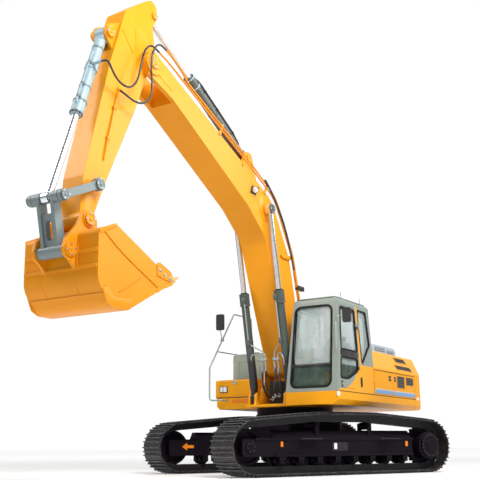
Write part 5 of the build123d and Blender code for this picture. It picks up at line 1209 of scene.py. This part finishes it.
for name, hose in footHoses.items():
    route = [home + Vector(point) for point in reversed(hose["points"])]
    tube = bar(name, route, footHoseRadius, **hoseRound)
    wear(tube, "hoseRubber")
    end = settle(copies(name + "Fitting", ferrule, [hose["points"][0]]), "boom_cylinder_tubes", "zinc")
    centreLine(route)
    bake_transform(tube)
settle(copies("footElbows", elbow, [(x, -0.78, z) for x, z in ((0.09, 1.43), (0.222, 1.455), (0.0, 1.42),
        (-0.05, 1.37))], (0, -1, 0)), "superstructure", "zinc")

portBlock = cutShape("portBlock", "plan", boxed((-0.034, -0.042), (0.034, 0.03)), -0.05, 0.05, 0.008)
for side, word in sides.items():
    place = beside("boom", 1.87, 0.105, side * 0.35)
    settle(copies("headPort" + word, portBlock, [place]), "boom_cylinder_tubes", "armTubeEnamel", 0.004)
    place = beside("boom", 1.06, 0.085, side * 0.35)
    settle(copies("linePort" + word, portBlock, [place]), "boom_cylinder_tubes", "armTubeEnamel", 0.004)

armTrim = {
    "lineClampLeft": {"plane": "front", "points": boxed((0.122, 2.06), (0.258, 2.104)),
        "span": (-1.072, -1.028), "curve": 0.008, "body": "boom_cylinder_tubes", "finish": "railEnamel"},
    "lineClampRight": {"plane": "front", "points": boxed((-0.148, 2.06), (-0.014, 2.104)),
        "span": (-1.072, -1.028), "curve": 0.008, "body": "boom_cylinder_tubes", "finish": "railEnamel"},
    "bendBracket": {"points": [(-1.0, 4.075), (-0.93, 4.03), (-0.62, 4.04), (-0.555, 4.085), (-0.62, 4.12),
        (-0.93, 4.115)], "span": (0.278, 0.318), "bevel": 0.006},
    "hornBracket": {"points": boxed((-0.41, 3.485), (-0.13, 3.575)), "span": (0.278, 0.345), "curve": 0.012,
        "finish": "blackPlastic", "bevel": 0.006},
    "lampBracket": {"points": [(-2.08, 5.06), (-1.9, 5.05), (-1.86, 5.17), (-2.02, 5.215)],
        "span": (0.278, 0.3), "curve": 0.01, "finish": "blackPlastic", "bevel": 0.003},
    "boomCheek": {"points": [(-5.1, 6.618), (-5.094, 6.43), (-4.91, 6.35), (-4.756, 6.484)],
        "span": (0.306, 0.318), "curve": 0.03, "bevel": 0.004, "both": True},
    "boomNosePlate": {"points": [(-5.0, 6.375), (-4.985, 6.335), (-4.52, 6.135), (-4.505, 6.175)],
        "span": (0.2785, 0.2865), "both": True},
    "boomFootPlate": {"points": [(-0.6, 2.15), (-0.54, 1.88), (-0.18, 1.88), (-0.155, 2.15), (-0.28, 2.42),
        (-0.56, 2.42)], "span": (0.279, 0.287), "curve": 0.08, "bevel": 0.003, "both": True},
    "boomKneePlate": {"points": [(-1.8, 4.98), (-1.64, 4.62), (-1.4, 4.62), (-1.29, 4.88), (-1.4, 5.11),
        (-1.66, 5.16)], "span": (0.279, 0.287), "curve": 0.1, "bevel": 0.003, "both": True},
    "armRootPlate": {"points": [(-5.36, 6.48), (-5.22, 6.2), (-4.96, 6.22), (-4.93, 6.56), (-5.08, 6.9),
        (-5.38, 6.96)], "span": (0.1885, 0.1945), "curve": 0.09, "body": "arm", "bevel": 0.002,
        "both": True},
    "armEndPlate": {"points": [(-6.44, 3.9), (-6.44, 3.56), (-6.37, 3.42), (-6.22, 3.56), (-6.12, 3.9),
        (-6.24, 4.16)], "span": (0.1885, 0.1945), "curve": 0.05, "body": "arm", "bevel": 0.002,
        "both": True},
}
cutPieces(armTrim, plane="side", body="boom", finish="boomEnamel")

bucketTrim = {
    "bucketStripTop": {"plane": "front", "points": boxed((-0.665, 3.005), (0.665, 3.055)),
        "span": (-6.59, -6.563), "bevel": 0.005},
    "bucketStripMid": {"plane": "front", "points": boxed((-0.665, 2.795), (0.665, 2.845)),
        "span": (-6.588, -6.56), "bevel": 0.005},
    "bucketTopFlange": {"points": [(-6.575, 3.305), (-6.56, 3.25), (-6.52, 3.262), (-6.24, 3.405),
        (-6.235, 3.45), (-6.3, 3.43)], "span": (0.672, 0.692), "bevel": 0.003, "both": True},
    "bucketHeelPlate": {"points": [(-6.48, 2.52), (-6.39, 2.35), (-6.26, 2.292), (-5.98, 2.292),
        (-5.82, 2.372), (-5.9, 2.46), (-6.24, 2.44), (-6.38, 2.56)], "span": (0.674, 0.692), "curve": 0.02,
        "bevel": 0.004, "both": True},
    "bucketLipPlate": {"points": [(-5.3, 2.64), (-4.965, 2.828), (-4.965, 2.862), (-5.3, 2.676)],
        "span": (-0.684, 0.684), "bevel": 0.004},
    "earRib": {"points": [(-6.555, 2.8), (-6.6, 2.88), (-6.6, 3.06), (-6.555, 3.23)], "span": (0.3, 0.33),
        "bevel": 0.004, "both": True},
}
cutPieces(bucketTrim, plane="side", body="bucket", finish="bucketEnamel")

toothPitch = 0.3065
toothPlaces = [(index - 2) * toothPitch for index in range(5)]
adapters = [cutShape("adapter", "side", [(-5.15, 2.718), (-4.96, 2.79), (-4.865, 2.862), (-4.86, 2.915),
                                         (-4.96, 2.925), (-5.17, 2.862), (-5.16, 2.835), (-4.99, 2.878),
                                         (-4.99, 2.836), (-5.16, 2.745)], x - 0.058, x + 0.058)
            for x in toothPlaces]
settle(together("toothAdapters", adapters), "bucket", "toothWorn", 0.006)
settle(copies("adapterPins", hexBolt, [(x + 0.058, -4.93, 2.868) for x in toothPlaces], (1, 0, 0), 1.1),
       "bucket", "zinc")
cutterPlaces = [(-5.274, 2.973), (-5.154, 2.92), (-5.033, 2.882)]
for side, word in sides.items():
    settle(copies("cutterBolts" + word, hexBolt, [(side * 0.689, y, z) for y, z in cutterPlaces],
                  (side, 0, 0), 1.5), "bucket", "zinc")
    settle(copies("bracketBolts" + word, hexBolt, [(side * 0.342, y, z) for y, z in ((-0.3, 1.78),
            (-0.42, 1.78), (-0.46, 2.06), (-0.24, 2.06))], (side, 0, 0), 1.2), "superstructure", "zinc")
lampCase = turnedShape("lampCase", [(0.03, -0.07), (0.05, -0.055), (0.062, -0.01), (0.066, 0.0),
                                    (0.066, 0.012), (0.06, 0.014)], 24)
lampGlass = turnedShape("lampGlass", [(0.06, 0.01), (0.056, 0.018), (0.03, 0.024), (0.006, 0.026)], 24)
settle(stand(lampCase, (0.352, -2.0, 5.12), (0.1, -0.85, -0.5)), "boom", "blackPlastic")
settle(stand(lampGlass, (0.352, -2.0, 5.12), (0.1, -0.85, -0.5)), "boom", "lampLens")
recessBoss = turnedShape("recessBoss", [(0.112, 0.0), (0.112, 0.02), (0.104, 0.028), (0.074, 0.028),
                                        (0.068, 0.018), (0.05, 0.018), (0.046, 0.032), (0.012, 0.034)], 32)
settle(stand(recessBoss, (-0.291, -0.715, 1.375), (1, 0, 0)), "superstructure", "houseEnamel")
clampTemplate = cutShape("clampTemplate", "plan", boxed((-0.03, -0.024), (0.03, 0.024)), -0.022, 0.022,
                         0.008)
settle(copies("armLineClamps", clampTemplate, [beside("arm", far, -0.1, 0.06)
                                               for far in (0.6, 1.18, 1.62)]), "arm_cylinder_tube",
       "armTubeEnamel", 0.003)
settle(copies("bucketLineClamps", clampTemplate, [beside("bucket", far, -0.095, 0.042)
                                                  for far in (0.66, 1.075, 1.3)]), "bucket_cylinder_tube",
       "leverEnamel", 0.003)
for template in (pinCap, ferrule, elbow, portBlock, clampTemplate):
    bpy.data.objects.remove(template)
print("working arm trimmed")

# ---- undercarriage, in the tracks' own frame: ledges, steps, covers, bolts and the shoes' bolts
trackTrim = {
    "upperLedge": {"points": boxed((-1.94, 0.592), (1.67, 0.64)), "span": (1.4935, 1.514),
        "finish": "chassisEnamel", "bevel": 0.005, "both": True},
    "lowerLedge": {"points": boxed((-1.54, 0.322), (1.65, 0.378)), "span": (1.4935, 1.518),
        "finish": "chassisEnamel", "bevel": 0.005, "both": True},
    "frontStep": {"plane": "plan", "points": boxed((1.5, -1.07), (1.63, -0.61)), "span": (0.612, 0.634),
        "curve": 0.012, "finish": "chassisSteel", "bevel": 0.003, "both": True},
    "rearStep": {"plane": "plan", "points": boxed((1.5, 0.76), (1.63, 1.23)), "span": (0.612, 0.634),
        "curve": 0.012, "finish": "chassisSteel", "bevel": 0.003, "both": True},
    "adjusterCover": {"points": boxed((-0.3, 0.41), (0.06, 0.56)), "span": (1.4935, 1.503), "curve": 0.02,
        "finish": "chassisSteel", "bevel": 0.003, "both": True},
    "frontMark": {"points": boxed((-1.412, 0.49), (-1.362, 0.58)), "span": (1.494, 1.4965),
        "finish": "decalOrange", "bevel": 0.0},
    "rearMark": {"points": boxed((1.47, 0.485), (1.532, 0.577)), "span": (1.494, 1.4965),
        "finish": "decalOrange", "bevel": 0.0},
    "middleMark": {"points": boxed((-0.256, 0.445), (-0.192, 0.548)), "span": (1.502, 1.5055),
        "finish": "reflectorWhite", "bevel": 0.0},
    "travelArrow": {"points": [(-1.91, 0.5), (-1.8, 0.572), (-1.8, 0.528), (-1.65, 0.528), (-1.65, 0.472),
        (-1.8, 0.472), (-1.8, 0.43)], "span": (-1.096, -1.0935), "finish": "decalOrange", "bevel": 0.0},
}
cutPieces(trackTrim, plane="side", body="undercarriage", turned=True)

rollerPitch, rollerMiddle = 0.405, 0.04
rollerPlaces = [(index - 3.5) * rollerPitch + rollerMiddle for index in range(8)]
driveCover = turnedShape("driveCover", [(0.222, -0.004), (0.222, 0.006), (0.212, 0.014), (0.12, 0.02),
                                        (0.112, 0.03), (0.06, 0.034), (0.052, 0.028), (0.02, 0.028)], 40)
idlerCover = turnedShape("idlerCover", [(0.098, -0.002), (0.098, 0.01), (0.09, 0.018), (0.05, 0.02),
                                        (0.044, 0.028), (0.014, 0.03)], 32)
rollerCap = turnedShape("rollerCap", [(0.04, -0.002), (0.04, 0.008), (0.034, 0.013), (0.012, 0.014)], 20)
trackRings = {
    "driveCovers": (driveCover, [(1.593, 2.02, 0.494)], "chassisEnamel", 1.0),
    "idlerCovers": (idlerCover, [(1.494, -2.02, 0.485)], "chassisEnamel", 1.0),
    "rollerCaps": (rollerCap, [(1.464, y, 0.2603) for y in rollerPlaces], "chassisSteel", 1.0),
    "driveBolts": (hexBolt, boltRing((1.607, 2.02, 0.494), (1, 0, 0), 0.196, 20), "chassisSteel", 1.15),
    "flangeBolts": (hexBolt, boltRing((1.554, 2.02, 0.494), (1, 0, 0), 0.238, 24), "chassisSteel", 1.0),
    "idlerBolts": (hexBolt, boltRing((1.511, -2.02, 0.485), (1, 0, 0), 0.074, 6), "chassisSteel", 1.0),
    "rollerBolts": (hexBolt, [(1.494, y + step, 0.3) for y in rollerPlaces for step in (-0.036, 0.036)],
        "chassisSteel", 1.0),
    "coverBolts": (hexBolt, [(1.502, y, z) for y in (-0.275, 0.035) for z in (0.43, 0.54)], "chassisSteel",
        0.9),
}
for name, (template, places, finish, scale) in trackRings.items():
    settlePair(copies(name, template, places, (1, 0, 0), scale), "undercarriage", finish, turned=True)


def bend(a, b, c):
    # more than nought where a, b and c turn to the left
    return (b[0] - a[0]) * (c[1] - a[1]) - (b[1] - a[1]) * (c[0] - a[0])


shoeCount = 49
shoeBolts = {"along": (0.32, 0.68), "out": 0.0715, "across": (1.225, 1.365)}
# what the link pins run round, idler, sprocket and two carrier rollers: (y, z, radius)
trackWheels = [(-2.02, 0.485, 0.377), (2.02, 0.494, 0.386), (-0.58, 0.85, 0.132), (0.64, 0.85, 0.132)]


def tautLine():
    # the link pins' taut line round the wheels, as a fine polygon
    angles = [k * math.pi / 360 for k in range(720)]
    dots = sorted({(round(y + r * math.cos(angle), 6), round(z + r * math.sin(angle), 6))
                   for y, z, r in trackWheels for angle in angles})
    hull = []
    for run in (dots, dots[::-1]):
        base = len(hull)
        for dot in run:
            while len(hull) - base > 1 and bend(hull[-2], hull[-1], dot) <= 0:
                hull.pop()
            hull.append(dot)
        hull.pop()
    return hull


def spots(line, shift, count):
    # equal steps along a closed line: the places and the length of a step
    found = []
    sizes = [math.dist(a, b) for a, b in zip(line, line[1:] + line[:1])]
    whole = sum(sizes)
    for number in range(count):
        rest = (shift + number / count) * whole % whole
        index = 0
        while rest > sizes[index]:
            rest -= sizes[index]
            index += 1
        a, b = Vector(line[index]), Vector(line[(index + 1) % len(line)])
        found.append(a + (b - a) * (rest / sizes[index]))
    return found, whole / count


def groundBars():
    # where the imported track's cross bars stand on the ground, along the track
    undo = Matrix.Rotation(-trackTurn, 4, "Z") @ Matrix.Translation(-home)
    low = sorted({round((undo @ vertex.co).y, 3) for vertex in nodes["track_left"].data.vertices
                  if vertex.co.z < 0.0015 and (undo @ vertex.co).x > 1.6})
    return [y for y in low if -1.4 < y < 1.4]


line = tautLine()
bottom = min(point[1] for point in line)
start = min((point for point in line if point[1] < bottom + 0.0001), key=lambda point: point[0])
first = line.index(start)
line = line[first:] + line[:first]
bars = groundBars()
places, pitch = spots(line, 0.0, shoeCount)
# a link carries bars at 0.14, 0.50 and 0.86 of its length: the one with even gaps is its middle
pairs = [(bars[k] + bars[k + 1]) / 2 for k in range(len(bars) - 1) if bars[k + 1] - bars[k] < 0.02]
shares = [pair for before, pair, after in zip(pairs, pairs[1:], pairs[2:])
          if abs((after - pair) - (pair - before)) < 0.006]
shift = ((shares[0] - 0.5 * pitch - start[0]) / pitch) % 1.0
places, pitch = spots(line, shift / shoeCount, shoeCount)
print("shoe pitch", round(pitch, 4), "bars", len(pairs), "middles", len(shares))
shoeBolt = turnedShape("shoeBolt", [(0.015, -0.002), (0.015, 0.009), (0.0125, 0.012)], 6)
boltSpots = []
for a, b in zip(places, places[1:] + places[:1]):
    way = (b - a).normalized()
    out = Vector((way.y, -way.x))
    for share in shoeBolts["along"]:
        spot = a + (b - a) * share + out * shoeBolts["out"]
        boltSpots += [(x, spot.x, spot.y, out) for x in shoeBolts["across"]]
made = []
for x, y, z, out in boltSpots:
    one = linked("shoeBolts", shoeBolt.data.copy())
    made.append(stand(one, (x, y, z), (0, out.x, out.y)))
settlePair(together("shoeBolts", made), "undercarriage", "shoeSteel", turned=True)
for template in (driveCover, idlerCover, rollerCap, shoeBolt):
    bpy.data.objects.remove(template)
print("undercarriage trimmed")

# ---- operator's seat: padded cushion, back and headrest on a moulded base
pads = {
    "seatCushion": {"plane": "plan", "points": boxed((0.778, -0.545), (1.222, -0.05)),
        "span": (1.79, 1.892), "curve": 0.09, "bevel": 0.03, "replaces": True},
    "seatBack": {"plane": "front", "points": [(0.79, 1.93), (1.21, 1.93), (1.19, 2.42), (0.81, 2.42)],
        "span": (-0.075, 0.02), "curve": 0.08, "bevel": 0.03, "face": "seat"},
    "seatHeadrest": {"plane": "front", "points": boxed((0.885, 2.43), (1.115, 2.556)),
        "span": (-0.06, 0.015), "curve": 0.045, "bevel": 0.024, "face": "seat"},
}

# cloth under pressure: grid of the mesh, pressure, frames and how far a point may move
stuffing = {"grid": 0.009, "pressure": 4.0, "frames": 20, "reach": 0.016}


def stuffed(piece, c):
    # blown up a little by cloth pressure
    pick(piece)
    grid = piece.modifiers.new("grid", "REMESH")
    grid.mode, grid.voxel_size = "VOXEL", c["grid"]
    bpy.ops.object.modifier_apply(modifier="grid")
    before = [vertex.co.copy() for vertex in piece.data.vertices]
    cloth = piece.modifiers.new("cloth", "CLOTH")
    cloth.settings.use_pressure = True
    cloth.settings.uniform_pressure_force = c["pressure"]
    cloth.settings.effector_weights.gravity = 0.0
    for step in range(1, c["frames"] + 1):
        bpy.context.scene.frame_set(step)
    bpy.ops.object.modifier_apply(modifier="cloth")
    bpy.context.scene.frame_set(1)
    for vertex, old in zip(piece.data.vertices, before):
        move = vertex.co - old
        if move.length > c["reach"]:
            vertex.co = old + move * (c["reach"] / move.length)
    smooth = piece.modifiers.new("smooth", "SUBSURF")
    smooth.levels = 1
    bpy.ops.object.modifier_apply(modifier="smooth")


for name, s in pads.items():
    piece = cutShape(name, s["plane"], s["points"], *s["span"], s["curve"])
    pick(piece)
    soft = piece.modifiers.new("soft", "BEVEL")
    soft.width, soft.segments, soft.angle_limit = s["bevel"], 4, math.radians(50)
    bpy.ops.object.modifier_apply(modifier="soft")
    if "face" in s:
        lean(piece, s["face"])
    stuffed(piece, stuffing)
    settle(piece, "superstructure", "seatCloth")
    if s.get("replaces"):
        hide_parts("operator_seat")

seatTrim = {
    "seatPan": {"points": boxed((0.765, -0.555), (1.235, -0.035)), "span": (1.757, 1.797), "curve": 0.07,
        "finish": "blackPlastic", "bevel": 0.008},
    "seatShell": {"plane": "front", "points": [(0.775, 1.915), (1.225, 1.915), (1.205, 2.43),
        (0.795, 2.43)], "span": (0.015, 0.045), "curve": 0.07, "face": "seat", "finish": "blackPlastic",
        "bevel": 0.008},
    "seatPedestal": {"points": boxed((0.835, -0.405), (1.165, -0.075)), "span": (1.492, 1.765),
        "curve": 0.03, "ring": 0.02, "finish": "greyPlastic", "bevel": 0.004},
    "seatBellows": {"points": boxed((0.855, -0.385), (1.145, -0.095)), "span": (1.56, 1.7), "curve": 0.03,
        "finish": "rubber", "bevel": 0.01},
}
cutPieces(seatTrim, plane="plan", body="superstructure")
for x, word in ((0.93, "Right"), (1.07, "Left")):
    settle(bar("headrestPost" + word, [(x, 0.052, 2.36), (x, 0.064, 2.4), (x, 0.072, 2.45),
                                       (x, 0.078, 2.48)], 0.008), "superstructure", "zinc")
belt = bar("seatBelt", [(1.215, -0.07, 1.8), (1.232, -0.1, 1.88), (1.2, -0.16, 1.925), (1.12, -0.23, 1.932),
                        (1.04, -0.26, 1.934)], 0.006)
settle(belt, "superstructure", "blackPlastic")
print("seat padded")

bpy.data.objects.remove(hexBolt)


# ---- studio: pale floor, bright backdrop behind the machine, soft lamps
studio = {"floor": 90.0, "backdrop": (-0.5255, 0.8508, 0.0), "dim": 0.26, "bright": 1.03,
          "nearGlow": 0.16, "farGlow": 0.62, "nearEdge": 5.0, "farEdge": 26.0, "glowEdges": (0.62, 0.86)}
lamps = {
    "keyLamp": {"place": (8.0, -7.0, 11.5), "aim": (0.0, -3.5, 5.0), "size": 5.0, "power": 1650.0,
                "colour": (1.0, 0.985, 0.95)},
    "sheenLamp": {"place": (9.0, 5.0, 9.5), "aim": (0.0, -2.0, 4.0), "size": 6.0, "power": 700.0,
                  "colour": (1.0, 0.99, 0.96)},
    "frontLamp": {"place": (-8.0, -10.5, 11.0), "aim": (0.0, -5.0, 4.5), "size": 6.0, "power": 760.0,
                  "colour": (1.0, 0.99, 0.97)},
    "skyLamp": {"place": (0.0, 1.0, 17.0), "aim": (0.0, 0.0, 0.0), "size": 15.0, "power": 800.0,
                "colour": (0.96, 0.98, 1.0)},
}


def addWorld(s):
    world = bpy.data.worlds.new("studio")
    bpy.context.scene.world = world
    world.use_nodes = True
    sky = Paint(world.node_tree)
    where = sky.node("ShaderNodeTexCoord", outlet="Generated")
    facing = sky.node("ShaderNodeVectorMath", {"operation": "DOT_PRODUCT"}, {0: where, 1: s["backdrop"]},
                      "Value")
    glow = sky.ease(facing, *s["glowEdges"])
    light = sky.node("ShaderNodeBackground", {}, {"Color": (1.0, 1.0, 1.0),
                                                  "Strength": s["dim"] + glow * (s["bright"] - s["dim"])})
    sky.node("ShaderNodeOutputWorld", {}, {"Surface": light})


def addFloor(s):
    bpy.ops.mesh.primitive_circle_add(vertices=64, radius=s["floor"], fill_type="NGON", location=(0, 0, 0))
    floor = bpy.context.active_object
    floor.name = "studioFloor"
    material, paint = newPaint("paleFloor")
    tone = paint.mix(paint.noise(0.4, 3.0), (0.74, 0.74, 0.74), (0.78, 0.78, 0.775))
    away = paint.node("ShaderNodeVectorMath", {"operation": "LENGTH"}, {0: paint.place()}, "Value")
    near, far = ((s[word],) * 3 for word in ("nearGlow", "farGlow"))
    closeCoat(paint, tone, 0.6 + paint.noise(5.0, 3.0) * 0.1, Emission_Strength=1.0,
              Emission_Color=paint.mix(paint.ease(away, s["nearEdge"], s["farEdge"]), near, far))
    floor.data.materials.append(material)


def addLamp(name, l):
    light = bpy.data.lights.new(name, "AREA")
    light.shape, light.size, light.energy, light.color = "DISK", l["size"], l["power"], l["colour"]
    holder = linked(name, light)
    place = home + Vector(l["place"])
    turn = (home + Vector(l["aim"]) - place).to_track_quat("-Z", "Y")
    holder.matrix_world = Matrix.Translation(place) @ turn.to_matrix().to_4x4()


addWorld(studio)
addFloor(studio)
for name, lamp in lamps.items():
    addLamp(name, lamp)
print("studio lit")
